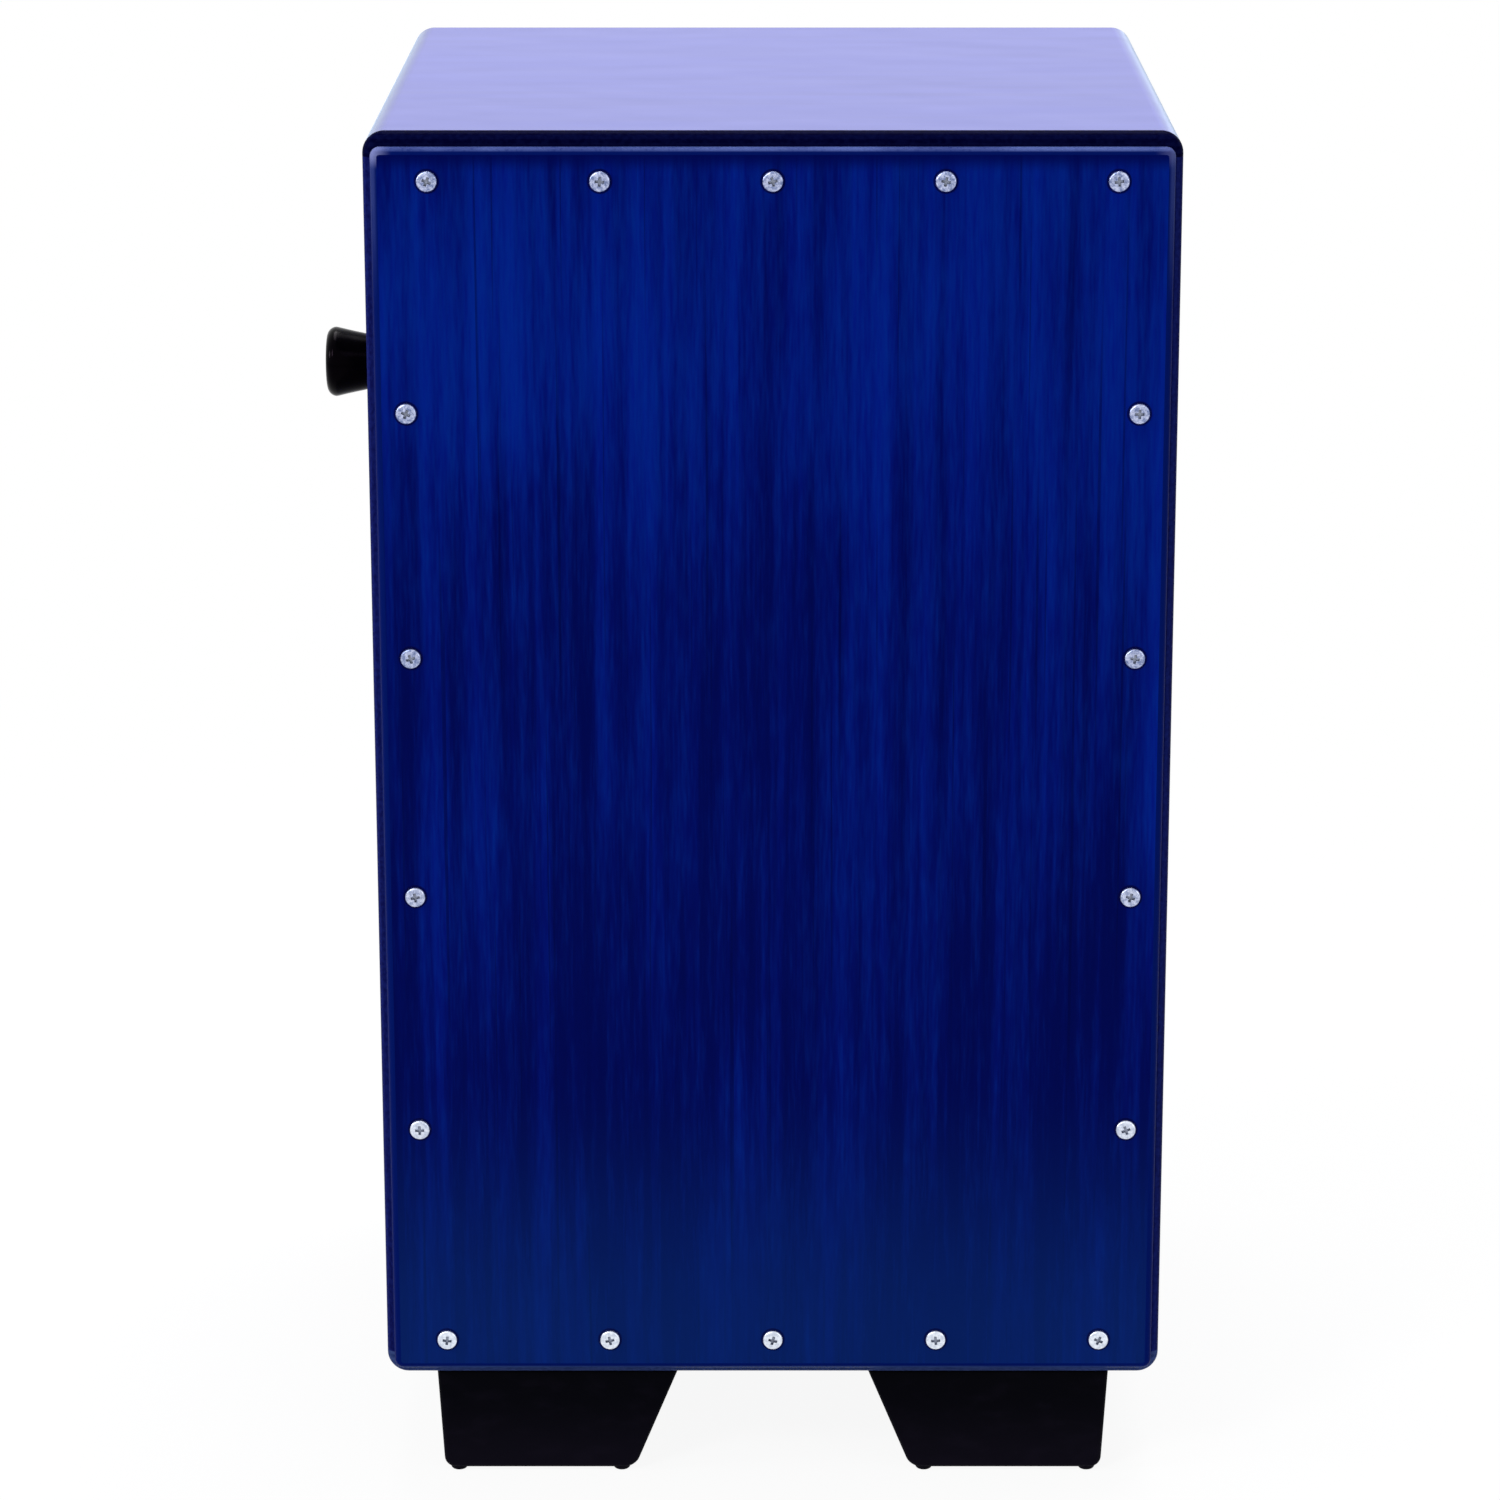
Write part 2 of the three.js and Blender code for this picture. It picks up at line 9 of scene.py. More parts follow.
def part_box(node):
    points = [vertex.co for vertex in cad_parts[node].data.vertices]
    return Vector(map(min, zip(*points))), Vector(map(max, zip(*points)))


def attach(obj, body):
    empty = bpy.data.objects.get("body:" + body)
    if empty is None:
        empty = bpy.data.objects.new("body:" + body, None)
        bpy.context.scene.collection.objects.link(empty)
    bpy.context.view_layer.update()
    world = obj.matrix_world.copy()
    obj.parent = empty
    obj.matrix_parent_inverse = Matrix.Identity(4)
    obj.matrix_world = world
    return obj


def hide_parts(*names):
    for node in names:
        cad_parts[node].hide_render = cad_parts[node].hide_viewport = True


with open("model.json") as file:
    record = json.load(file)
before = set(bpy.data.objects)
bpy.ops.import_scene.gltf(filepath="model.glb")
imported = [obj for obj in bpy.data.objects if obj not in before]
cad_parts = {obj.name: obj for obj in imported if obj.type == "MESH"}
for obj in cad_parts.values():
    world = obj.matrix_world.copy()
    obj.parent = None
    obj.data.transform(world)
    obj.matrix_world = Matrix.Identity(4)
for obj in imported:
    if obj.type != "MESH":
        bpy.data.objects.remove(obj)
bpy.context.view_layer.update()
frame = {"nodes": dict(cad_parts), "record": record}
cadNodes = frame["nodes"]
scene = bpy.context.scene
drum, snareThrow = "drum_box", "snare_throw"
xAxis, yAxis, zAxis = range(3)
lying, upright = xAxis, zAxis  # ways that the grain runs
mm = 0.001
print("frame loaded:", len(cadNodes), "nodes")

# camera
photo = {
    "place": (0.0083, -1.93415, 0.7805),
    "tiltDown": 15.44,
    "lens": 122.8,
    "sensor": 36,
    "imageWidth": 1500,
    "middleOffset": 22.8,  # pixels from the image's middle to the box's middle
}


def addCamera():
    data = bpy.data.cameras.new("photoCamera")
    data.lens = photo["lens"]
    data.sensor_width = photo["sensor"]
    data.shift_x = -photo["middleOffset"] / photo["imageWidth"]
    camera = bpy.data.objects.new("photoCamera", data)
    camera.location = photo["place"]
    camera.rotation_euler = (math.radians(90 - photo["tiltDown"]), 0, 0)
    scene.collection.objects.link(camera)
    scene.camera = camera


# shader maths
def paint(red, green, blue):  # a colour as an image editor shows it, 0 to 255, as Blender's linear values
    shares = [channel / 255 for channel in (red, green, blue)]
    return tuple(c / 12.92 if c < 0.04 else ((c + 0.055) / 1.055) ** 2.4 for c in shares)


def plug(socket, value):
    if isinstance(value, Wire):
        value.tree.links.new(value.socket, socket)
    elif socket.type == "RGBA":
        socket.default_value = (*value, 1)
    else:
        socket.default_value = value


class Wire:  # a node's socket, so that shader maths can be written as sums
    def __init__(self, tree, socket):
        self.tree = tree
        self.socket = socket

    def node(self, kind, settings, values, output=0):
        made = self.tree.nodes.new("ShaderNode" + kind)
        for name, setting in settings.items():
            setattr(made, name, setting)
        for name, value in values.items():
            plug(made.inputs[name], value)
        return Wire(self.tree, made.outputs[output])

    def maths(self, operation, first, second):
        return self.node("Math", {"operation": operation}, {0: first, 1: second})

    def __add__(self, other):
        return self.maths("ADD", self, other)

    def __radd__(self, other):
        return self.maths("ADD", other, self)

    def __sub__(self, other):
        return self.maths("SUBTRACT", self, other)

    def __rsub__(self, other):
        return self.maths("SUBTRACT", other, self)

    def __mul__(self, other):
        return self.maths("MULTIPLY", self, other)

    def __rmul__(self, other):
        return self.maths("MULTIPLY", other, self)

    def __truediv__(self, other):
        return self.maths("DIVIDE", self, other)

    def axis(self, number):
        return self.node("SeparateXYZ", {}, {0: self}, number)

    def between(self, low, high):  # 0 below low, 1 above high, eased
        values = {"Value": self, "From Min": low, "From Max": high}
        return self.node("MapRange", {"interpolation_type": "SMOOTHSTEP"}, values)

    def mix(self, first, second):  # two colours by this share
        return self.node("Mix", {"data_type": "RGBA"}, {0: self, 6: first, 7: second}, 2)

    def noise(self, perMetre, stretch=(1, 1, 1), detail=2, shift=(0, 0, 0)):
        turned = self.node("Mapping", {}, {"Vector": self, "Scale": stretch, "Location": shift})
        values = {"Vector": turned, "Scale": perMetre, "Detail": detail}
        return self.node("TexNoise", {}, values)

    def bump(self, height, strength=0.3):  # height in metres
        return self.node("Bump", {}, {"Height": self, "Distance": height, "Strength": strength})


def newFinish(name, fixed):
    material = bpy.data.materials.new(name)
    material.use_nodes = True
    tree = material.node_tree
    sockets = tree.nodes["Principled BSDF"].inputs
    for socket, value in fixed.items():
        plug(sockets[socket], value)
    coordinates = tree.nodes.new("ShaderNodeTexCoord")
    return material, sockets, Wire(tree, coordinates.outputs["Object"])


def blended(wires, shares):  # their sum, each by its share
    total, *others = [wire * share for wire, share in zip(wires, shares)]
    for other in others:
        total = total + other
    return total


def patterned(sockets, pattern, roughness, swing, relief, strength=0.3):  # gloss and relief follow it
    plug(sockets["Roughness"], pattern * swing + roughness)
    plug(sockets["Normal"], pattern.bump(relief, strength))


def mixSurfaces(material, share, second):  # a second shader over the first by this share
    tree = material.node_tree
    first = Wire(tree, tree.nodes["Principled BSDF"].outputs[0])
    both = first.node("MixShader", {}, {0: share, 1: first, 2: second})
    plug(tree.nodes["Material Output"].inputs["Surface"], both)


def rayKinds(tree):
    rays = tree.nodes.new("ShaderNodeLightPath")
    return [Wire(tree, rays.outputs[f"Is {kind} Ray"]) for kind in ("Camera", "Glossy", "Transmission")]


# stained and lacquered wood
stain = {
    "deep": paint(0, 3, 60),
    "bright": paint(2, 17, 126),
    "cyan": paint(0, 41, 115),
    "line": paint(0, 1, 40),
    "brightShares": (0.17, 0.5, 0.85),  # of vessels, figure and ribbons, from deep to bright
    "cyanShares": (0.78, 0.78, 0.5),  # of the same, towards cyan
    "driftShares": (0.32, 0.12),  # of clouds and broad, in both
    "cyanRange": (0.1, 1.0),
    "cyanMost": 0.5,
    "lineRange": (0.17, 0.26),
    "lineMost": 0.5,
}
streaks = {  # per metre across the grain, share of that along it, detail and shift
    "vessels": (1000, 0.08, 2, (0, 0, 0)),
    "figure": (330, 0.042, 3, (0.3, 0.1, 0.2)),
    "ribbons": (120, 0.024, 2, (0.7, 0.4, 0.9)),
    "clouds": (24, 0.45, 3, (0.2, 0.5, 0.1)),
    "broad": (7, 0.6, 1, (0.8, 0.3, 0.6)),
    "lines": (600, 0.006, 1, (0.4, 0.9, 0.5)),
}


def alongGrain(axis, share):
    return [share if i == axis else 1 for i in range(3)]


def lessDrawn(stretch, times):  # the same grain, less drawn out
    return [min(1, share * times) for share in stretch]


def streak(place, name, axis):  # from -0.5 to 0.5
    perMetre, share, detail, shift = streaks[name]
    return place.noise(perMetre, alongGrain(axis, share), detail, shift) - 0.5


def stainColour(place, axis, contrast=1, level=0.5):
    *grain, clouds, broad, lines = [streak(place, name, axis) for name in streaks]
    drift = blended((clouds, broad), stain["driftShares"]) + level
    tone = blended(grain, stain["brightShares"]) * contrast + drift
    fresh = blended(grain, stain["cyanShares"]) * contrast + drift
    colour = tone.between(0, 1).mix(stain["deep"], stain["bright"])
    colour = (fresh.between(*stain["cyanRange"]) * stain["cyanMost"]).mix(colour, stain["cyan"])
    inLine = lines.between(*stain["lineRange"]) * stain["lineMost"] * contrast
    return inLine.mix(colour, stain["line"]), tone


blueGleam = (0.3, 0.32, 0.5)
lacquer = {"Roughness": 0.12, "Specular Tint": blueGleam, "IOR": 1.52}
veneer = {"contrast": 0.8, "grainRelief": 0.02, "wavesPerMetre": 28, "waveRelief": 1.4}  # reliefs in mm


def lacquerFinish(name, axis, extra=None):
    material, sockets, place = newFinish(name, {**lacquer, **(extra or {})})
    colour, tone = stainColour(place, axis, veneer["contrast"])
    waves = place.noise(veneer["wavesPerMetre"], detail=1)
    normal = blended((tone, waves), (veneer["grainRelief"], veneer["waveRelief"])).bump(mm)
    plug(sockets["Base Color"], colour)
    plug(sockets["Normal"], normal)
    return material, place, colour, normal


plywood = {
    "ply": 1.28 * mm,
    "wander": 0.25 * mm,  # how far the plies wave
    "softness": 0.25,  # of the change from ply to ply
    "fibreShare": 0.6,
    "lighterPly": 0.4,
    "birch": (paint(196, 158, 108), paint(226, 196, 150)),  # dark and light, where it is bare
    "grainShare": 0.02,
}
endStainsAndShade = {  # darkest and lightest stain on the cut edges, with painted shade on the seat's and painted light on the floor panel's
    # painted shade: the seat's front and back roundings are painted darker
    "top": (paint(0, 0, 30), paint(5, 8, 46)),
    "side": (paint(7, 10, 62), paint(18, 27, 90)),
    # painted light: the floor panel's roundings are painted lighter, as a painted reflection of the floor
    "bottom": (paint(32, 46, 90), paint(52, 66, 114)),
}


def plyLayers(place, axis, outerFace):  # 0 in one ply and 1 in the next, counted from the outer face
    wander = (place.noise(90, detail=1) - 0.5) * plywood["wander"]
    layer = (place.axis(axis) - outerFace + wander) / plywood["ply"]
    wave = layer.node("Math", {"operation": "SINE"}, {0: layer * math.pi})
    return wave.between(-plywood["softness"], plywood["softness"])


# stained plies, where a panel's edge is cut
def edgeFinish(name, axis, outerFace, stains, gloss=0.005):
    fixed = {"Roughness": 0.3, "Specular IOR Level": gloss, "Specular Tint": blueGleam}
    material, sockets, place = newFinish(name, fixed)
    layers = plyLayers(place, axis, outerFace)
    fibres = place.noise(700, detail=3)
    share = fibres.between(0.3, 0.7) * plywood["fibreShare"]
    darkPly, lightPly = share.mix(*stains), (share + plywood["lighterPly"]).mix(*stains)
    plug(sockets["Base Color"], layers.mix(darkPly, lightPly))
    plug(sockets["Normal"], fibres.bump(0.04 * mm))
    return material


def rawPlyFinish(name, axis, stainedFrom=None):  # stain has run in behind the place given
    material, sockets, place = newFinish(name, {"Specular IOR Level": 0.3})
    stretch = alongGrain(axis, plywood["grainShare"])
    grain = place.noise(500, stretch, 4)
    rings = place.noise(45, lessDrawn(stretch, 6), 3, (0.4, 0.2, 0.6))
    colour = blended((grain, rings), (0.6, 0.4)).between(0.3, 0.7).mix(*plywood["birch"])
    if stainedFrom:
        colour = place.axis(yAxis).between(stainedFrom - mm, stainedFrom).mix(colour, stain["deep"])
    plug(sockets["Base Color"], colour)
    patterned(sockets, grain, roughness=0.62, swing=0.2, relief=0.08 * mm)
    return material


def timberFinish(name, shades, stretch, fleck=0.0):  # shades are dark and light, here and below
    material, sockets, place = newFinish(name, {"Specular IOR Level": 0.35})
    grain = place.noise(900, stretch, 3)
    rings = place.noise(160, lessDrawn(stretch, 4), 2, (0.6, 0.3, 0.2))
    flecks = place.noise(1400, lessDrawn(stretch, 8), 1, (0.1, 0.8, 0.5)).between(0.66, 0.74)
    colour = blended((grain, rings), (0.4, 0.6)).between(0.32, 0.68).mix(*shades)
    plug(sockets["Base Color"], (flecks * fleck).mix(colour, shades[0]))
    patterned(sockets, grain, roughness=0.5, swing=0.25, relief=0.08 * mm)
    return material


def metalFinish(name, shades, roughness, stretch=(1, 1, 1)):
    material, sockets, place = newFinish(name, {"Metallic": 1.0})
    brushed, blotches = place.noise(1800, stretch, 3), place.noise(300, detail=2)
    plug(sockets["Base Color"], blended((brushed, blotches), (0.5, 0.5)).between(0.3, 0.7).mix(*shades))
    patterned(sockets, brushed, roughness, swing=0.16, relief=0.01 * mm, strength=0.2)
    return material


print("shader tools ready")

# mesh tools
square, mainly = 0.9999, 0.9  # past these cosines a face or an edge is square to an axis, or mainly along it
tolerance = 0.001 * mm
mergeWithin, cornerFrom, sharpFrom = 1, 60, 35  # degrees between two faces
faceSide, rawSide, endSide = range(3)  # material numbers of a panel
towardsFront, towardsBack = [Matrix.Rotation(turn, 4, "X") for turn in (math.pi / 2, -math.pi / 2)]
towardsRight, towardsLeft = [Matrix.Rotation(turn, 4, "Y") for turn in (math.pi / 2, -math.pi / 2)]
upsideDown = Matrix.Rotation(math.pi, 4, "X")


def block(low, high):
    bm = bmesh.new()
    bmesh.ops.create_cube(bm, size=1)
    bmesh.ops.scale(bm, vec=high - low, verts=bm.verts)
    bmesh.ops.translate(bm, vec=(low + high) / 2, verts=bm.verts)
    return bm


def edgesAlong(bm, axis):
    ways = [(edge, (edge.verts[1].co - edge.verts[0].co).normalized()) for edge in bm.edges]
    return [edge for edge, way in ways if abs(way[axis]) > square]


def edgesOn(bm, axis, place):
    return [edge for edge in bm.edges if all(abs(vert.co[axis] - place) < tolerance for vert in edge.verts)]


def roundEdges(bm, edges, radius, segments):
    bmesh.ops.bevel(
        bm,
        geom=edges,
        offset=radius,
        offset_type="OFFSET",
        segments=segments,
        profile=0.5,
        affect="EDGES",
        material=-1,
    )


def arc(middle, radius, fromAngle, toAngle, steps):
    turns = [math.radians(fromAngle + (toAngle - fromAngle) * i / steps) for i in range(steps + 1)]
    return [(middle[0] + radius * math.cos(t), middle[1] + radius * math.sin(t)) for t in turns]


def lathe(profile, segments):  # points of radius and height, turned about Z
    bm = bmesh.new()
    verts = [bm.verts.new((radius, 0, height)) for radius, height in profile]
    edges = [bm.edges.new(ends) for ends in zip(verts, verts[1:])]
    full = {"cent": (0, 0, 0), "axis": (0, 0, 1), "angle": math.tau, "steps": segments}
    bmesh.ops.spin(bm, geom=verts + edges, use_merge=True, **full)
    bmesh.ops.remove_doubles(bm, verts=bm.verts, dist=tolerance / 2)
    bmesh.ops.recalc_face_normals(bm, faces=bm.faces)
    return bm


def helix(section, radius, pitch, turns, stepsPerTurn, sides):  # a round wire wound about Z, from Z 0 up
    bm = bmesh.new()
    bmesh.ops.create_circle(bm, segments=sides, radius=section)
    bmesh.ops.rotate(bm, verts=bm.verts, cent=(0, 0, 0), matrix=towardsFront.to_3x3())
    bmesh.ops.translate(bm, verts=bm.verts, vec=(radius, 0, 0))
    bmesh.ops.spin(
        bm,
        geom=bm.verts[:] + bm.edges[:],
        cent=(0, 0, 0),
        axis=(0, 0, 1),
        dvec=(0, 0, pitch / stepsPerTurn),
        angle=math.tau * turns,
        steps=round(turns * stepsPerTurn),
    )
    bmesh.ops.holes_fill(bm, edges=[edge for edge in bm.edges if edge.is_boundary], sides=0)
    bmesh.ops.recalc_face_normals(bm, faces=bm.faces)
    return bm


def addCopies(bm, part, matrices):
    mesh = bpy.data.meshes.new("copies")
    part.to_mesh(mesh)
    for matrix in matrices:
        moved = mesh.copy()
        moved.transform(matrix)
        bm.from_mesh(moved)
        bpy.data.meshes.remove(moved)
    bpy.data.meshes.remove(mesh)
    return bm


def asObject(bm, name, materials):
    mesh = bpy.data.meshes.new(name)
    bm.to_mesh(mesh)
    bm.free()
    for material in materials:
        mesh.materials.append(material)
    made = bpy.data.objects.new(name, mesh)
    scene.collection.objects.link(made)
    return made


def carve(bm, tool, operation="DIFFERENCE"):  # material numbers of both are kept
    body = asObject(bm, "carvedBody", [None] * 4)
    cutter = asObject(tool, "carvingTool", [None] * 4)
    boolean = body.modifiers.new("carving", "BOOLEAN")
    boolean.operation = operation
    boolean.object = cutter
    shaped = bpy.data.meshes.new_from_object(body.evaluated_get(bpy.context.evaluated_depsgraph_get()))
    result = bmesh.new()
    result.from_mesh(shaped)
    bpy.data.meshes.remove(shaped)
    for temporary in (body, cutter):
        bpy.data.meshes.remove(temporary.data)
    return result


def putPiece(name, bm, materials, body, slotName, *replaced):
    piece = asObject(bm, name, materials)
    piece.data.shade_smooth()
    piece.data.set_sharp_from_angle(angle=math.radians(sharpFrom))
    evened = piece.modifiers.new("evenNormals", "WEIGHTED_NORMAL")
    evened.keep_sharp = True
    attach(piece, body)
    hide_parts(*replaced)
    return piece


def softened(name, node, material, body, slotName, radius, segments=2):  # a CAD piece with its edges eased
    bm = bmesh.new()
    bm.from_mesh(cadNodes[node].data)
    bmesh.ops.remove_doubles(bm, verts=bm.verts, dist=tolerance)
    bmesh.ops.dissolve_limit(bm, angle_limit=math.radians(mergeWithin), verts=bm.verts, edges=bm.edges)
    sharp = [edge for edge in bm.edges if edge.calc_face_angle(0) > math.radians(cornerFrom)]
    roundEdges(bm, sharp, radius, segments)
    return putPiece(name, bm, [material], body, slotName, node)


def middleOf(node, **fixed):  # the middle of a node's box, with x, y or z as given
    low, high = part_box(node)
    middle = (low + high) / 2
    for letter, value in fixed.items():
        setattr(middle, letter, value)
    return middle


def drills(radius, places, matrix, depth):  # round cutters
    drill = bmesh.new()
    bmesh.ops.create_cone(drill, cap_ends=True, segments=32, radius1=radius, radius2=radius, depth=depth)
    for face in drill.faces:
        face.material_index = rawSide
    cutters = addCopies(bmesh.new(), drill, [Matrix.Translation(place) @ matrix for place in places])
    drill.free()
    return cutters


# shell panels
shell = {
    "cornerRadius": 8 * mm,
    "cornerSegments": 12,
    "edgeRound": 4.5 * mm,
    "edgeSegments": 8,
    "footHoleRadius": 2 * mm,
    "drillLength": 40 * mm,
    "bushHoleRadius": 6.6 * mm,
    "stainRun": 2 * mm,  # how far the stain has run in past the back panel
    "bareFrom": 0.2,  # share of the corner's radius, from the outer edge, that has no bloom
}
seatSheen = {"Sheen Weight": 1.0, "Sheen Roughness": 0.4, "Sheen Tint": (0.335, 0.36, 1.0)}
rimSheen = {"Sheen Weight": 1.0, "Sheen Roughness": 0.4, "Sheen Tint": (0.6, 0.75, 1.0)}
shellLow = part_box("bottom_panel")[0]
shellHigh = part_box("top_panel")[1]
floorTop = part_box("bottom_panel")[1].z
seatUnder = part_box("top_panel")[0].z
shaftMiddle = middleOf("snare_shaft")
footCorners = ("front_left", "front_right", "rear_left", "rear_right")
footScrewNodes = [f"{corner}_foot_screw_{i}" for corner in footCorners for i in (1, 2)]


def seatFinish(axis):  # the blue bloom of the seat ends where its long edges start to turn down
    material, place, colour, normal = lacquerFinish("seatVeneer", axis, seatSheen)
    bare = place.node("BsdfPrincipled", {}, {**lacquer, **rimSheen, "Base Color": colour, "Normal": normal})
    middle, half = (shellLow.x + shellHigh.x) / 2, (shellHigh.x - shellLow.x) / 2
    offset = place.axis(xAxis) - middle
    fromMiddle = offset.node("Math", {"operation": "ABSOLUTE"}, {0: offset})
    radius = shell["cornerRadius"]
    mixSurfaces(material, fromMiddle.between(half - radius, half - shell["bareFrom"] * radius), bare)
    return material


def shellForm():
    bm = block(shellLow, shellHigh)
    roundEdges(bm, edgesAlong(bm, yAxis), shell["cornerRadius"], shell["cornerSegments"])
    outlines = edgesOn(bm, yAxis, shellLow.y) + edgesOn(bm, yAxis, shellHigh.y)
    roundEdges(bm, outlines, shell["edgeRound"], shell["edgeSegments"])
    for face in bm.faces:
        leans = abs(face.normal.y) > 0.001  # to the front or the back
        face.material_index = endSide if leans else faceSide
    return bm


def sliced(form, planes):
    bm = form.copy()
    for place, outward in planes:
        everything = bm.verts[:] + bm.edges[:] + bm.faces[:]
        done = bmesh.ops.bisect_plane(bm, geom=everything, plane_co=place, plane_no=outward, clear_outer=True)
        rim = [part for part in done["geom_cut"] if isinstance(part, bmesh.types.BMEdge)]
        for face in bmesh.ops.holes_fill(bm, edges=rim, sides=0)["faces"]:
            face.material_index = rawSide
    bmesh.ops.recalc_face_normals(bm, faces=bm.faces)
    return bm


def addPanels():
    form = shellForm()
    up, down = Vector((0, 0, 1)), Vector((0, 0, -1))
    left, right = Vector((-1, 0, 0)), Vector((1, 0, 0))
    seatLevel, floorLevel = Vector((0, 0, seatUnder)), Vector((0, 0, floorTop))
    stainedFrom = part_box("back_panel")[1].y - shell["stainRun"]
    lyingInside = rawPlyFinish("lyingInside", lying, stainedFrom)
    uprightInside = rawPlyFinish("uprightInside", upright, stainedFrom)

    seatMaterials = [
        seatFinish(lying),
        lyingInside,
        edgeFinish("seatEnds", zAxis, shellHigh.z, endStainsAndShade["top"]),
    ]
    putPiece("topPanel", sliced(form, [(seatLevel, down)]), seatMaterials, drum, "stained_shell", "top_panel")

    floorMaterials = [
        lacquerFinish("floorVeneer", lying)[0],
        lyingInside,
        edgeFinish("floorEnds", zAxis, shellLow.z, endStainsAndShade["bottom"]),
    ]
    holePlaces = [middleOf(node, z=floorTop) for node in footScrewNodes]
    holes = drills(shell["footHoleRadius"], holePlaces, Matrix.Identity(4), shell["drillLength"])
    bottomPanel = carve(sliced(form, [(floorLevel, up)]), holes)
    putPiece("bottomPanel", bottomPanel, floorMaterials, drum, "stained_shell", "bottom_panel")

    sideVeneer = lacquerFinish("sideVeneer", upright)[0]
    for side, outward in (("left", left), ("right", right)):
        name, node = side + "SidePanel", side + "_side_panel"
        low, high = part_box(node)
        inner, outer = (high, low) if outward == left else (low, high)
        panel = sliced(form, [(inner, -outward), (seatLevel, up), (floorLevel, down)])
        if outward == left:
            middle = Vector((low.x, shaftMiddle.y, shaftMiddle.z))
            hole = drills(shell["bushHoleRadius"], [middle], towardsRight, shell["drillLength"])
            panel = carve(panel, hole)
        for face in panel.faces:
            if abs(face.normal.z) > mainly and face.material_index == rawSide:
                face.material_index = endSide
        materials = [sideVeneer, uprightInside, edgeFinish(name + "Ends", xAxis, outer.x, endStainsAndShade["side"])]
        putPiece(name, panel, materials, drum, "stained_shell", node)
    form.free()
    print("shell panels done")


# back panel with its sound port
port = {
    "radius": 60 * mm,
    "segments": 128,
    "rimRound": 2 * mm,
    "rimSegments": 6,
    "panelEdge": 0.8 * mm,
    "past": 5 * mm,  # how far the cutter stands out on either side
    "wallGloss": 0.3,
}


def addBackPanel():
    low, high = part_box("back_panel")
    bm = block(low, high)
    roundEdges(bm, edgesOn(bm, yAxis, high.y), port["panelEdge"], 3)
    for face in bm.faces:
        outside, inside = face.normal.y > square, face.normal.y < -mainly
        face.material_index = faceSide if outside else rawSide if inside else endSide
    opening = frame["record"]["physics"]["openings"][0]["box_m"]
    middle = (Vector(opening[0]) + Vector(opening[1])) / 2
    wall, past, steps = high.y - low.y, port["past"], port["rimSegments"]
    radius, ease = port["radius"], port["rimRound"]
    profile = [(0, -past), (radius + ease, -past)]
    profile += arc((radius + ease, ease), ease, 270, 180, steps)
    profile += arc((radius + ease, wall - ease), ease, 180, 90, steps)
    profile += [(radius + ease, wall + past), (0, wall + past)]
    cutter = lathe(profile, port["segments"])
    for face in cutter.faces:
        face.material_index = endSide
    cutter.transform(Matrix.Translation((middle.x, low.y, middle.z)) @ towardsBack)
    materials = [
        lacquerFinish("backVeneer", upright)[0],
        rawPlyFinish("backInside", upright),
        edgeFinish("portWall", yAxis, high.y, endStainsAndShade["side"], port["wallGloss"]),
    ]
    putPiece("backPanel", carve(bm, cutter), materials, drum, "stained_shell", "back_panel")
    print("back panel done")


# playing board
board = {
    "cornerRadius": 3.5 * mm,
    "edgeRound": 2.5 * mm,
    "roundSegments": 8,
    "holeRadius": 2 * mm,
    "dishRadius": 6.4 * mm,  # the heads have pressed the lacquer in
    "dishDepth": 0.09 * mm,
    "cutterReach": (-5 * mm, 8 * mm),  # in front of the board's face and behind it
    "ringRadius": 4.5 * mm,  # the lacquer is dark where they have crushed it, with a painted shadow under each head's rim
    "ring": paint(3, 1, 36),
    "ringShare": 0.75,
    "specularTint": (0.01, 0.035, 0.5),
    "roughness": 0.26,
    "roughnessSwing": 0.08,
    "level": 0.21,  # how light the stain is before the gains
    "paintedHighlight": (-88 * mm, 440 * mm),  # a painted highlight from the light at the upper left: its middle, across and up, and how far it reaches
    "paintedHighlightReach": (66 * mm, 70 * mm),
    "lowerRise": (150 * mm, 300 * mm),  # heights over which the board is painted lighter, as painted light from above
    "upperRise": (300 * mm, 440 * mm),
    # painted light: lighter towards the right and in a strip along the right edge, lower down. The left strip
    # is darker.
    "rightRise": (0 * mm, 144 * mm),
    "rightStrip": 25 * mm,
    "leftStrip": 20 * mm,
    "gains": (0.15, 0.06, 0.17, 0.05, 0.13, -0.09),  # of these six, in their order; the first five add painted light
    "margin": 2.5 * mm,  # from the edge; the board is darkest here
    "sideFade": 4 * mm,
    "sideShade": 0.5,
    "topFade": 7 * mm,
    "topShade": 0.9,
    # painted reflection of the pale floor, lighter and greener towards the bottom
    "paintedReflection": paint(12, 46, 104),
    "paintedReflectionHeight": 120 * mm,
    "paintedReflectionShare": 0.4,
}
# the board's rounded edge: its side stain, with a painted highlight along the top, down the upper sides and
# at the top corners, and painted light along the bottom
boardEdge = {
    "side": paint(3, 18, 84),
    "top": paint(69, 83, 141),
    "bottom": paint(40, 62, 116),
    "corner": paint(118, 124, 176),
    "highlightBand": 1.6 * mm,  # the light line, a painted highlight
    "sideBand": (0.7, 1.5),  # where it fades at the sides, in bands from the edge
    "sideShare": 0.45,
    "sideFade": 60 * mm,  # how far it runs down the sides
    "cornerReach": 8 * mm,
    "cornerFull": 0.25,  # share of that reach where the painted corner highlight is fullest
    "cornerShares": (0.8, 0.25),  # left and right; the painted highlight is strongest at the left
    # random patches where the painted highlight gives way to the side's stain
    "patchShare": 0.35,
    "topPatchShare": 0.2,
    "fibrePatchShare": 0.2,
}


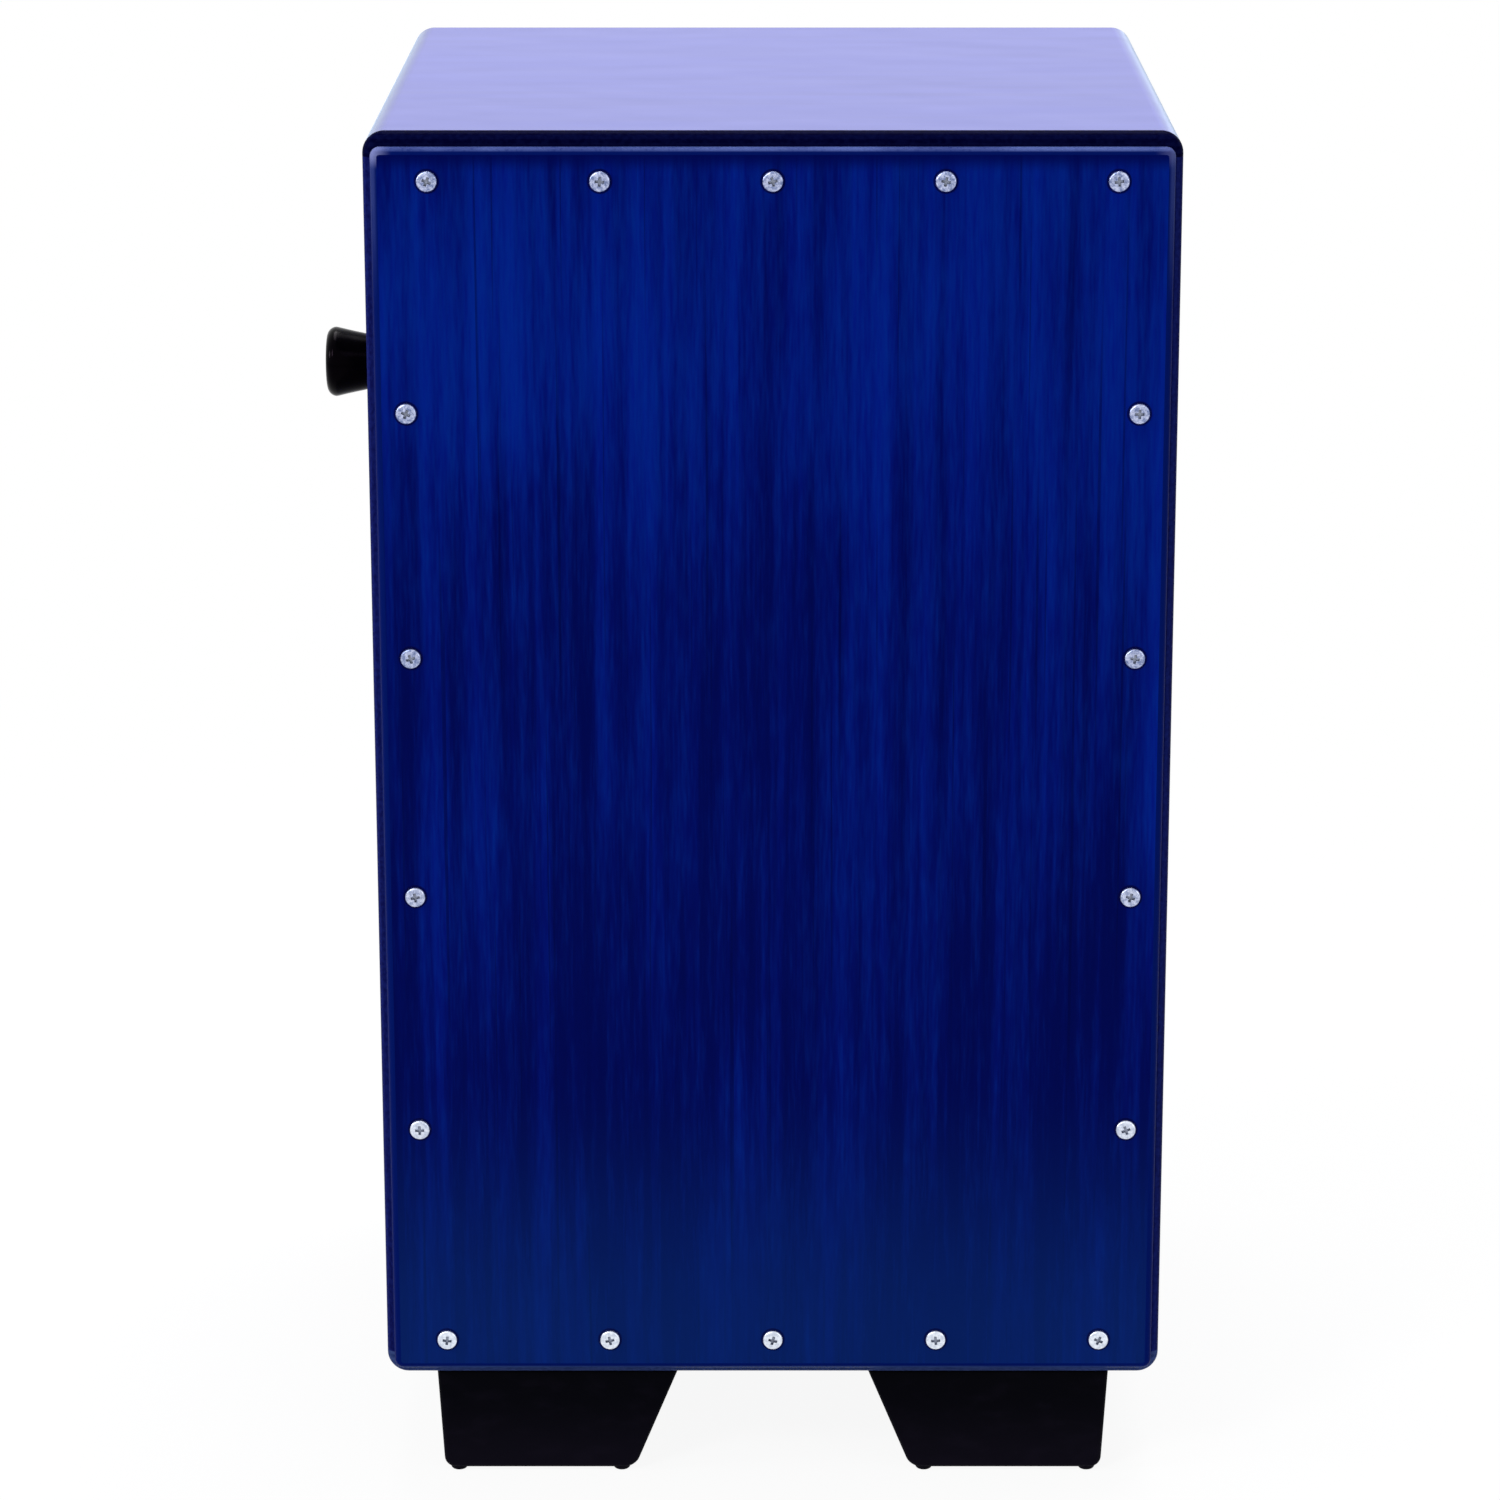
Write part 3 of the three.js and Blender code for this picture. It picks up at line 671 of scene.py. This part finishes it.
# how light the board is: its stain, with painted light and a painted highlight over it
def boardStainAndLight(across, height, low, high):
    middleX, middleZ = board["paintedHighlight"]
    reachX, reachZ = board["paintedHighlightReach"]
    aside, above = (across - middleX) / reachX, (height - middleZ) / reachZ
    paintedHighlight = 1 - (aside * aside + above * above).between(0, 1)
    lower, upper = height.between(*board["lowerRise"]), height.between(*board["upperRise"])
    right = across.between(*board["rightRise"]) * lower
    rightStrip = across.between(high.x - board["rightStrip"], high.x) * lower
    leftStrip = 1 - across.between(low.x, low.x + board["leftStrip"])
    return blended((paintedHighlight, lower, upper, right, rightStrip, leftStrip), board["gains"]) + board["level"]


def boardFinish(name, low, high, ringShare=0.0):
    material, sockets, place = newFinish(name, {"Specular Tint": board["specularTint"], "IOR": 1.5})
    across, height = place.axis(xAxis), place.axis(zAxis)
    colour, tone = stainColour(place, upright, 1, boardStainAndLight(across, height, low, high))
    side, top = low.x + board["margin"], high.z - board["margin"]
    lowDown = 1 - height.between(*board["upperRise"])
    # darker towards the top edge, and towards the left edge lower down
    atSide = (1 - across.between(side, side + board["sideFade"])) * lowDown
    atTop = height.between(top - board["topFade"], top)
    # painted reflection of the floor, strongest at the bottom edge
    paintedReflection = 1 - height.between(low.z, low.z + board["paintedReflectionHeight"])
    colour = (atSide * board["sideShade"]).mix(colour, stain["deep"])
    colour = (atTop * board["topShade"]).mix(colour, stain["deep"])
    colour = (paintedReflection * board["paintedReflectionShare"]).mix(colour, board["paintedReflection"])
    # a dark ring round each screw: crushed lacquer with a painted shadow
    if ringShare:
        colour = place.node("Mix", {"data_type": "RGBA"}, {0: ringShare, 6: colour, 7: board["ring"]}, 2)
    plug(sockets["Base Color"], colour)
    patterned(sockets, tone, board["roughness"], board["roughnessSwing"], relief=0.03 * mm)
    return material


def boardEdgeFinish(low, high):
    fixed = {"Specular Tint": board["specularTint"], "Specular IOR Level": 0.02, "Roughness": 0.3}
    material, sockets, place = newFinish("boardEdge", fixed)
    highlightBand, fade, reach = [boardEdge[name] for name in ("highlightBand", "sideFade", "cornerReach")]
    outer, inner = [share * highlightBand for share in boardEdge["sideBand"]]
    across, height = place.axis(xAxis), place.axis(zAxis)
    fibres = place.noise(900, alongGrain(upright, 0.05), 2).between(0.5, 0.7)
    patchy = place.noise(30, detail=3).between(0.35, 0.65)
    # painted highlight along the top, painted light along the bottom
    atTop = height.between(high.z - highlightBand, high.z - highlightBand / 2)
    atBottom = 1 - height.between(low.z + highlightBand / 2, low.z + highlightBand)
    atLeft = 1 - across.between(low.x + outer, low.x + inner)
    atRight = across.between(high.x - inner, high.x - outer)
    nearTop = height.between(high.z - fade, high.z) * (atLeft + atRight) * boardEdge["sideShare"]
    colour = nearTop.mix(boardEdge["side"], boardEdge["top"])
    colour = atTop.mix(colour, boardEdge["top"])
    colour = atBottom.mix(colour, boardEdge["bottom"])
    patchShare = patchy * (atTop * boardEdge["topPatchShare"] + boardEdge["patchShare"])
    colour = (patchShare + fibres * boardEdge["fibrePatchShare"]).mix(colour, boardEdge["side"])
    # painted highlight at the top corners, strongest at the left
    nearLeft = 1 - across.between(low.x, low.x + reach)
    nearRight = across.between(high.x - reach, high.x)
    upCorner = height.between(high.z - reach, high.z - boardEdge["cornerFull"] * reach)
    corner = blended((nearLeft, nearRight), boardEdge["cornerShares"]) * upCorner
    plug(sockets["Base Color"], corner.mix(colour, boardEdge["corner"]))
    return material


def addPlayingBoard():
    low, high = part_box("playing_board")
    bm = block(low, high)
    roundEdges(bm, edgesAlong(bm, yAxis), board["cornerRadius"], board["roundSegments"])
    roundEdges(bm, edgesOn(bm, yAxis, low.y), board["edgeRound"], board["roundSegments"])
    front, edge, back, ring = range(4)
    for face in bm.faces:
        facesFront, facesBack = face.normal.y < -square, face.normal.y > mainly
        face.material_index = front if facesFront else back if facesBack else edge
    reach, depth, hole = board["dishRadius"], board["dishDepth"], board["holeRadius"]
    dish = [(reach * s, depth * (math.cos(math.pi * s) + 1) / 2) for s in (1, 0.85, 0.7, 0.55, 0.4)]
    start, end = board["cutterReach"]
    cutter = lathe([(0, start), (reach, start), *dish, (hole, dish[-1][1]), (hole, end), (0, end)], 40)
    for face in cutter.faces:
        if face.calc_center_median().xy.length < board["ringRadius"]:
            face.material_index = ring
    places = [Matrix.Translation(middleOf(node, y=low.y)) @ towardsBack for node in boardScrewNodes]
    holes = addCopies(bmesh.new(), cutter, places)
    cutter.free()
    materials = [
        boardFinish("stainedBoard", low, high),
        boardEdgeFinish(low, high),
        rawPlyFinish("boardBack", upright),
        boardFinish("crushedAndShadedRing", low, high, board["ringShare"]),
    ]
    putPiece("playingBoard", carve(bm, holes), materials, drum, "stained_board", "playing_board")
    print("playing board done")


# screws: underside of the head at Z 0, point downwards
boardScrew = {"head": 7.4 * mm, "height": 1.6 * mm, "shank": 3.4 * mm, "length": 15 * mm}
footScrew = {"head": 7.4 * mm, "height": 1.8 * mm, "shank": 3.4 * mm, "length": 15.5 * mm}
plateScrew = {"head": 5.6 * mm, "height": 1.4 * mm, "shank": 2.8 * mm, "length": 12 * mm}
screwForm = {
    "core": 0.72,  # of the shank's radius
    "pitch": 0.36,  # of the shank's width, as are the tip and the point
    "tip": 0.9,
    "point": 0.35,
    "ridge": 0.3,  # of the pitch
    "threadStop": 1.5 * mm,  # below the head
    "rim": 0.42,  # of the head's height
    "dome": (0.9, 0.72),  # reach and rise, of the height above the rim
    "topEdge": 0.42,  # how flat the top is
    "cross": (0.3, 0.08),  # half its length and width, of the head's width
    "crossDepth": 0.85,  # of the head's height
    "crossTaper": (0.6, 0.75),  # its floor against its mouth, in length and width
}
screwTurn = {"step": 1.13, "spread": 0.8}  # the crosses stand within about 23 degrees of upright
zinc = {  # dark and light patches, painted brighter near the floor and darker and bluer higher up, as a painted reflection
    "low": (paint(198, 206, 222), paint(236, 242, 252)),
    "high": (paint(112, 126, 168), paint(198, 205, 234)),
    "brightBelow": 0.07,  # heights in metres
    "dimAbove": 0.3,
    # the cross recess: the same zinc painted darker, as painted shade in the slot
    "recess": (paint(128, 134, 150), paint(168, 174, 190)),
    "recessRoughness": 0.45,
    "setScrewEase": 0.15 * mm,
}
boardScrewNodes = sorted(name for name in cadNodes if name.startswith("playing_board_screw_"))


def zincFinish():
    material, sockets, place = newFinish("zincPlate", {"Metallic": 1.0})
    brushed, blotches = place.noise(1800, detail=3), place.noise(700, detail=2)
    # painted reflection: brighter low down, darker higher up
    paintedDimming = place.axis(zAxis).between(zinc["brightBelow"], zinc["dimAbove"])
    shades = [paintedDimming.mix(low, high) for low, high in zip(zinc["low"], zinc["high"])]
    plug(sockets["Base Color"], blended((brushed, blotches), (0.4, 0.6)).between(0.35, 0.65).mix(*shades))
    patterned(sockets, brushed, roughness=0.25, swing=0.16, relief=0.01 * mm, strength=0.2)
    return material


def crossTurn(i):
    return Matrix.Rotation(i * screwTurn["step"] % screwTurn["spread"] - screwTurn["spread"] / 2, 4, "Z")


def screwShape(size):
    radius, height, width, length = size["head"] / 2, size["height"], size["shank"], size["length"]
    shank, pitch = width / 2, width * screwForm["pitch"]
    core, tipStart = shank * screwForm["core"], length - width * screwForm["tip"]
    rim = height * screwForm["rim"]
    out, rise = [(height - rim) * share for share in screwForm["dome"]]
    turns = [math.radians(angle) for angle in (0, 18, 36, 54, 72)]
    dome = [(radius - out + out * math.cos(t), rim + rise * math.sin(t)) for t in turns]
    fall = (height - dome[-1][1]) / screwForm["topEdge"]
    profile = [(0, -length), (core * 0.5, -length + width * screwForm["point"])]
    profile += [(core, -tipStart), (core, -1.2 * mm), (shank * 0.9, -0.5 * mm), (shank, 0)]
    profile += [(radius - 0.1 * mm, -0.1 * mm), (radius, 0.05 * mm), *dome]
    profile += [(radius * s, height - fall * s * s) for s in (0.6, 0.4, 0.2, 0)]
    bm = lathe(profile, 40)

    reach, half = [size["head"] * share for share in screwForm["cross"]]
    floor = height * (1 - screwForm["crossDepth"])
    shorter, narrower = screwForm["crossTaper"]
    recessed = 1  # material number of the cross
    for turn in (0, math.pi / 2):
        wing = block(Vector((-reach, -half, floor)), Vector((reach, half, height * 2)))
        for vert in wing.verts:
            if vert.co.z < height:
                vert.co.x *= shorter
                vert.co.y *= narrower
        for face in wing.faces:
            face.material_index = recessed
        wing.transform(Matrix.Rotation(turn, 4, "Z"))
        bm = carve(bm, wing)

    turns = (tipStart - screwForm["threadStop"]) / pitch
    ridge = helix(pitch * screwForm["ridge"], core, pitch, turns, 16, 3)
    return addCopies(bm, ridge, [Matrix.Translation((0, 0, -tipStart))])


# each screw has a name, a node, and the place of its head's underside
def addScrews(size, facing, body, finishes, screws):
    shape = screwShape(size)
    for i, (name, node, place) in enumerate(screws):
        screw = addCopies(bmesh.new(), shape, [Matrix.Translation(place) @ facing @ crossTurn(i)])
        putPiece(name, screw, finishes, body, "zinc_screw", node)
    shape.free()


def addAllScrews():
    plated = zincFinish()
    finishes = [plated, metalFinish("zincShadedRecess", zinc["recess"], zinc["recessRoughness"])]
    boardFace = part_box("playing_board")[0].y
    screws = []
    for i, node in enumerate(boardScrewNodes):
        screws.append((f"boardScrew{i + 1:02d}", node, middleOf(node, y=boardFace)))
    addScrews(boardScrew, towardsFront, drum, finishes, screws)

    screws = []
    for i, node in enumerate(footScrewNodes):
        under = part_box(node)[0].z + footScrew["height"]
        screws.append((f"footScrew{i + 1}", node, middleOf(node, z=under)))
    addScrews(footScrew, upsideDown, drum, finishes, screws)

    screws = []
    for i in range(6):
        node = f"snare_plate_screw_{i + 1}"
        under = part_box(node)[0].y + plateScrew["height"]
        screws.append((f"plateScrew{i + 1}", node, middleOf(node, y=under)))
    addScrews(plateScrew, towardsFront, snareThrow, finishes, screws)

    for name, node in (("knobGrubScrew", "knob_grub_screw"), ("barSetScrew", "bar_set_screw")):
        softened(name, node, plated, snareThrow, "zinc_screw", zinc["setScrewEase"])
    print("screws done")


# feet
foot = {
    "topWidth": 91.1 * mm,
    "outerDraft": 2.4 * mm,
    "innerDraft": 16.6 * mm,
    "cornerRadius": 4 * mm,
    "edgeRound": 2 * mm,
    "nubRadius": 3.2 * mm,
    "nubSideInset": 2 * mm,
    "nubEndInset": 0.8 * mm,
    "nubHeight": 1.4 * mm,
    "nubRound": 1.3 * mm,
    "nubFlare": 1.2 * mm,
    "web": 8 * mm,
    "headHoleRadius": 4.7 * mm,
    "headHoleLip": 0.6 * mm,
    "shankHoleRadius": 2 * mm,
    "shades": (paint(0, 0, 4), paint(12, 9, 20)),
    "shadeReach": 0.8,  # of the foot's height; painted shade under the box makes it darker at the top and paler towards the floor
    "shadeAndScuffShares": (0.7, 0.3),  # by height, as painted shade, and in scuffs
}


def rubberFinish(low, high):
    material, sockets, place = newFinish("footRubber", {"Specular IOR Level": 0.03})
    pebble = place.noise(2600, detail=3)
    scuffs = place.noise(90, (1, 1, 2), 4).between(0.45, 0.75)
    # painted shade under the box: darker towards the top
    lowDown = 1 - place.axis(zAxis).between(low.z, low.z + foot["shadeReach"] * (high.z - low.z))
    share = blended((lowDown, scuffs), foot["shadeAndScuffShares"])
    plug(sockets["Base Color"], share.mix(*foot["shades"]))
    patterned(sockets, pebble, roughness=0.52, swing=0.2, relief=0.12 * mm)
    return material


def footShape(low, high, side, screws):
    outerX = low.x if side < 0 else high.x
    innerX = outerX - side * foot["topWidth"]
    soleZ = low.z + foot["nubHeight"]
    bm = block(Vector((min(outerX, innerX), low.y, soleZ)), Vector((max(outerX, innerX), high.y, high.z)))
    for vert in bm.verts:
        if vert.co.z < high.z - mm:
            atOuter = abs(vert.co.x - outerX) < mm
            vert.co.x -= side * foot["outerDraft"] if atOuter else -side * foot["innerDraft"]
    lowEdges = [edge for edge in edgesAlong(bm, yAxis) if edge.verts[0].co.z < high.z - mm]
    roundEdges(bm, lowEdges, foot["cornerRadius"], 12)
    roundEdges(bm, edgesOn(bm, yAxis, low.y) + edgesOn(bm, yAxis, high.y), foot["edgeRound"], 5)

    radius, ease, flare = foot["nubRadius"], foot["nubRound"], foot["nubFlare"]
    fromSide, fromEnd = foot["nubSideInset"] + radius, foot["nubEndInset"] + radius
    nubXs = [outerX - side * (foot["outerDraft"] + fromSide), innerX + side * (foot["innerDraft"] + fromSide)]
    nubYs = [low.y + fromEnd, high.y - fromEnd]
    profile = [(0, low.z), *arc((radius - ease, low.z + ease), ease, -90, 0, 5)]
    profile += [(radius + flare * s * s, soleZ + flare * s) for s in (0.25, 0.5, 0.75, 1)]
    top = soleZ + foot["edgeRound"] + flare
    nub = lathe([*profile, (radius, top), (0, top)], 32)
    nubs = addCopies(bmesh.new(), nub, [Matrix.Translation((x, y, 0)) for x in nubXs for y in nubYs])
    nub.free()
    bm = carve(bm, nubs, "UNION")

    ceiling, lip = high.z - foot["web"], foot["headHoleLip"]
    head, shank = foot["headHoleRadius"], foot["shankHoleRadius"]
    profile = [(0, low.z - mm), (head + lip, low.z - mm)]
    profile += arc((head + lip, soleZ + lip), lip, 270, 180, 4)
    profile += [(head, ceiling), (shank, ceiling), (shank, high.z + mm), (0, high.z + mm)]
    hole = lathe(profile, 32)
    holes = addCopies(bmesh.new(), hole, [Matrix.Translation((screw.x, screw.y, 0)) for screw in screws])
    hole.free()
    return carve(bm, holes)


def addFeet():
    rubber = rubberFinish(*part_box("front_left_foot"))
    for corner, side in zip(footCorners, (-1, 1, -1, 1)):
        low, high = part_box(f"{corner}_foot")
        screws = [middleOf(f"{corner}_foot_screw_{i}") for i in (1, 2)]
        name = corner.replace("_l", "L").replace("_r", "R") + "Foot"
        bm = footShape(low, high, side, screws)
        putPiece(name, bm, [rubber], drum, "black_rubber", f"{corner}_foot")
    print("feet done")


# knob, shaft and its bearings
knob = {
    "neckRadius": 10.1 * mm,
    "neckRound": 0.6 * mm,
    "rimRadius": 12.6 * mm,
    "rimRound": 3.4 * mm,
    "flare": 1.15,  # power of its curve
    "dish": 0.8 * mm,
    "dishInset": 0.4 * mm,
    "boreRadius": 4.3 * mm,
    "boreEase": 0.4 * mm,
    "endWall": 4.8 * mm,
    "grubRadius": 2.3 * mm,
    "grubDrill": 12 * mm,
    "shades": (paint(0, 0, 1), paint(2, 2, 3)),
}
shaft = {
    "ease": 0.5 * mm,
    "shades": (paint(168, 172, 180), paint(214, 217, 222)),
    "roughness": 0.18,
    "grainShare": 0.05,
}
bush = {
    "boreRadius": 4.3 * mm,
    "sleeveRadius": 6.3 * mm,
    "flangeRadius": 8.9 * mm,
    "flange": 1.2 * mm,
    "ease": 0.3 * mm,
    "shades": (paint(222, 218, 204), paint(238, 236, 226)),
}
beech = {
    "shades": (paint(166, 116, 72), paint(206, 158, 108)),
    "grainShare": 0.05,
    "fleck": 0.6,
    "blockEase": 0.8 * mm,
    "barEase": 1.2 * mm,
}


def knobFinish():
    fixed = {"Specular Tint": (0.3, 0.2, 0.32), "Specular IOR Level": 0.06}
    material, sockets, place = newFinish("knobPlastic", fixed)
    swirl = place.noise(300, detail=4)
    plug(sockets["Base Color"], swirl.mix(*knob["shades"]))
    patterned(sockets, swirl, roughness=0.14, swing=0.08, relief=0.02 * mm, strength=0.2)
    return material


def nylonFinish():
    material, sockets, place = newFinish("bushNylon", {"Subsurface Weight": 0.1})
    cloud = place.noise(500, detail=2)
    plug(sockets["Base Color"], cloud.mix(*bush["shades"]))
    plug(sockets["Roughness"], cloud * 0.12 + 0.38)
    return material


def onShaft(bm, startX):  # from Z up to the shaft's line
    bm.transform(Matrix.Translation((startX, shaftMiddle.y, shaftMiddle.z)) @ towardsRight)
    return bm


def addKnob():
    low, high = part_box("snare_knob")
    length = high.x - low.x
    neck, rim, bore = knob["neckRadius"], knob["rimRadius"], knob["boreRadius"]
    neckRound, rimRound, boreEase = knob["neckRound"], knob["rimRound"], knob["boreEase"]
    rimAt, depth = length - rimRound, length - knob["endWall"]
    profile = [(0, depth), (bore, depth), (bore, boreEase), (bore + boreEase, 0)]
    profile += arc((neck - neckRound, neckRound), neckRound, 270, 360, 4)
    profile += [(neck + (rim - neck) * s ** knob["flare"], rimAt * s) for s in (0.2, 0.4, 0.6, 0.8, 0.95)]
    profile += arc((rim - rimRound, rimAt), rimRound, 4, 84, 10)
    face = rim - rimRound - knob["dishInset"]
    profile += [(face * s, length - knob["dish"] * (1 - s ** 3)) for s in (1, 0.85, 0.7, 0.5, 0.25, 0)]
    bm = lathe(profile, 96)
    middle = middleOf("snare_knob", x=high.x)
    bm.transform(Matrix.Translation(middle) @ towardsLeft)
    grub = middleOf("knob_grub_screw", y=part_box("knob_grub_screw")[1].y, z=middle.z)
    bm = carve(bm, drills(knob["grubRadius"], [grub], towardsFront, knob["grubDrill"]))
    for bmFace in bm.faces:
        bmFace.material_index = 0
    putPiece("snareKnob", bm, [knobFinish()], snareThrow, "black_knob", "snare_knob")


def addShaft():
    low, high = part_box("snare_shaft")
    radius, length, ease = (high.z - low.z) / 2, high.x - low.x, shaft["ease"]
    profile = [(0, 0), (radius - ease, 0), (radius, ease)]
    profile += [(radius, length - ease), (radius - ease, length), (0, length)]
    bm = onShaft(lathe(profile, 48), low.x)
    stretch = alongGrain(xAxis, shaft["grainShare"])
    steel = metalFinish("groundBar", shaft["shades"], shaft["roughness"], stretch)
    putPiece("snareShaft", bm, [steel], snareThrow, "bright_steel", "snare_shaft")


def addBearings():
    low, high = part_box("shaft_bush")
    length, ease, thick = high.x - low.x, bush["ease"], bush["flange"]
    bore, sleeve, flange = bush["boreRadius"], bush["sleeveRadius"], bush["flangeRadius"]
    profile = [(bore, ease), (bore + ease, 0), (flange - ease, 0), (flange, ease), (flange, thick)]
    profile += [(sleeve, thick), (sleeve, length - ease), (sleeve - ease, length), (bore, length)]
    bm = onShaft(lathe([*profile, (bore, ease)], 64), low.x)
    putPiece("shaftBush", bm, [nylonFinish()], drum, "nylon_bush", "shaft_bush")
    stretch = alongGrain(lying, beech["grainShare"])
    oiled = timberFinish("oiledBeech", beech["shades"], stretch, beech["fleck"])
    softened("bearingBlock", "shaft_bearing_block", oiled, drum, "beech", beech["blockEase"])
    softened("snareBar", "snare_bar", oiled, snareThrow, "beech", beech["barEase"], 3)
    print("knob, shaft and bearings done")


# frame strips
strip = {"shades": (paint(196, 154, 100), paint(228, 200, 152)), "grainShare": 0.03, "ease": 0.8 * mm}


def addStrips():
    pineLying = timberFinish("pineLying", strip["shades"], alongGrain(lying, strip["grainShare"]))
    pineStanding = timberFinish("pineStanding", strip["shades"], alongGrain(upright, strip["grainShare"]))
    pine = {"top": pineLying, "bottom": pineLying, "left": pineStanding, "right": pineStanding}
    for end in ("front", "back"):
        for place, material in pine.items():
            name = end + place.capitalize() + "Strip"
            softened(name, f"{end}_{place}_strip", material, drum, "pine_strip", strip["ease"])
    print("frame strips done")


# snare wires
snare = {
    "strands": 8,
    "wire": 0.5 * mm,
    "outerDiameter": 2.2 * mm,
    "turns": 70,
    "quickTurns": 12,
    "stepsPerTurn": 10,
    "wireSides": 5,
    "fanHalf": 22.8 * mm,
    "plate": 1.6 * mm,
    "plateHeight": 16 * mm,
    "plateCorner": 2 * mm,
    "plateEase": 0.35 * mm,
    "bead": 1.5 * mm,  # of solder over each wire's end
    "beadShape": (1, 0.62, 1.7),
    "beadPlace": (0, -0.2 * mm, -4.5 * mm),  # from the wire's end
    "wireShades": (paint(176, 178, 184), paint(222, 224, 228)),
    "wireRoughness": 0.24,
    "plateShades": (paint(160, 162, 168), paint(206, 208, 212)),
    "plateRoughness": 0.3,
    "plateGrain": 0.05,
}


def snareCoils(root, tip, shifts):
    turns = snare["turns"]
    reach, radius = tip - root, (snare["outerDiameter"] - snare["wire"]) / 2
    pitch = reach.length / turns
    coil = helix(snare["wire"] / 2, radius, pitch, turns, snare["stepsPerTurn"], snare["wireSides"])
    turn = reach.to_track_quat("Z", "X").to_matrix().to_4x4()
    coils = addCopies(bmesh.new(), coil, [Matrix.Translation(root + shift) @ turn for shift in shifts])
    coil.free()
    return coils


def addSnareSets():
    steel = metalFinish("springWire", snare["wireShades"], snare["wireRoughness"])
    stretch = alongGrain(xAxis, snare["plateGrain"])
    plateSteel = metalFinish("endPlate", snare["plateShades"], snare["plateRoughness"], stretch)
    last = snare["strands"] - 1
    shifts = [Vector(((2 * k / last - 1) * snare["fanHalf"], 0, 0)) for k in range(snare["strands"])]
    bead = bmesh.new()
    bmesh.ops.create_uvsphere(bead, u_segments=14, v_segments=9, radius=snare["bead"])
    bmesh.ops.scale(bead, vec=snare["beadShape"], verts=bead.verts)
    for i in (1, 2, 3):
        low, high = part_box(f"snare_wires_{i}")
        plateLow = Vector((low.x, high.y - snare["plate"], high.z - snare["plateHeight"]))
        root = Vector(((low.x + high.x) / 2, plateLow.y, (high.z + plateLow.z) / 2))
        tip = Vector((root.x, low.y + snare["outerDiameter"] / 2, low.z))
        bm = snareCoils(root, tip, shifts)
        plate = block(plateLow, high)
        roundEdges(plate, edgesAlong(plate, yAxis), snare["plateCorner"], 5)
        roundEdges(plate, edgesOn(plate, yAxis, plateLow.y), snare["plateEase"], 2)
        beadPlaces = [Matrix.Translation(root + shift + Vector(snare["beadPlace"])) for shift in shifts]
        for part in (plate, addCopies(bmesh.new(), bead, beadPlaces)):
            for face in part.faces:
                face.material_index = 1
            addCopies(bm, part, [Matrix.Identity(4)])
            part.free()
        putPiece(f"snareWires{i}", bm, [steel, plateSteel], snareThrow, "snare_steel", f"snare_wires_{i}")
    bead.free()
    print("snare wires done")


# stage and light
studio = {
    "ambient": 0.5,
    "floorRadius": 14,
    "floorShades": ((0.83, 0.83, 0.84), (0.86, 0.86, 0.87)),
    "floorGlow": (0.92, 1.0),  # share of plain white near the drum and away from it
    "glowReach": (0.25, 1.1),
    "mirroredGlow": (1.0, 0.3),  # the same as polished pieces see it
    "mirroredReach": (0.3, 2.5),
    "middle": (0.0083, 0, 0.27),
}
lights = {  # place, width and power
    "keyLight": ((-1.3, -1.9, 1.9), 0.8, 30),
    "fillLight": ((2.2, -2.0, 1.0), 1.8, 10),
    "overheadLight": ((0.2, 0.6, 2.4), 1.6, 45),
    "sideLight": ((-1.7, -0.55, 1.0), 0.4, 8),
}


def glowShare(away, glow, reach):
    near, far = studio[glow]
    return away.between(*studio[reach]) * (far - near) + near


def addStage():
    bm = bmesh.new()
    bmesh.ops.create_circle(bm, cap_ends=True, segments=96, radius=studio["floorRadius"])
    material, sockets, place = newFinish("paleFloor", {"Roughness": 0.9, "Specular IOR Level": 0.0})
    plug(sockets["Base Color"], place.noise(40, detail=2).mix(*studio["floorShades"]))
    camera, glossy, passing = rayKinds(material.node_tree)
    away = place.node("VectorMath", {"operation": "LENGTH"}, {0: place}, 1)
    seen = glowShare(away, "floorGlow", "glowReach")
    mirrored = glowShare(away, "mirroredGlow", "mirroredReach")
    glow = place.node("Emission", {}, {"Color": (1, 1, 1), "Strength": 1.0})
    mixSurfaces(material, camera * seen + (glossy + passing) * mirrored, glow)
    asObject(bm, "floor", [material])


def addWorld():
    world = bpy.data.worlds.new("studio")
    scene.world = world
    world.use_nodes = True
    camera, glossy, passing = rayKinds(world.node_tree)
    background = world.node_tree.nodes["Background"].inputs
    plug(background["Color"], (1, 1, 1))
    plug(background["Strength"], (camera + glossy + passing) * (1 - studio["ambient"]) + studio["ambient"])


def addLights():
    for name, (place, width, power) in lights.items():
        data = bpy.data.lights.new(name, "AREA")
        data.shape = "DISK"
        data.size = width
        data.energy = power
        lamp = bpy.data.objects.new(name, data)
        lamp.location = place
        lamp.rotation_euler = (Vector(studio["middle"]) - Vector(place)).to_track_quat("-Z", "Y").to_euler()
        scene.collection.objects.link(lamp)


addCamera()
addStage()
addWorld()
addLights()
scene.view_settings.view_transform = "Standard"
addPanels()
addBackPanel()
addPlayingBoard()
addAllScrews()
addFeet()
addKnob()
addShaft()
addBearings()
addStrips()
addSnareSets()
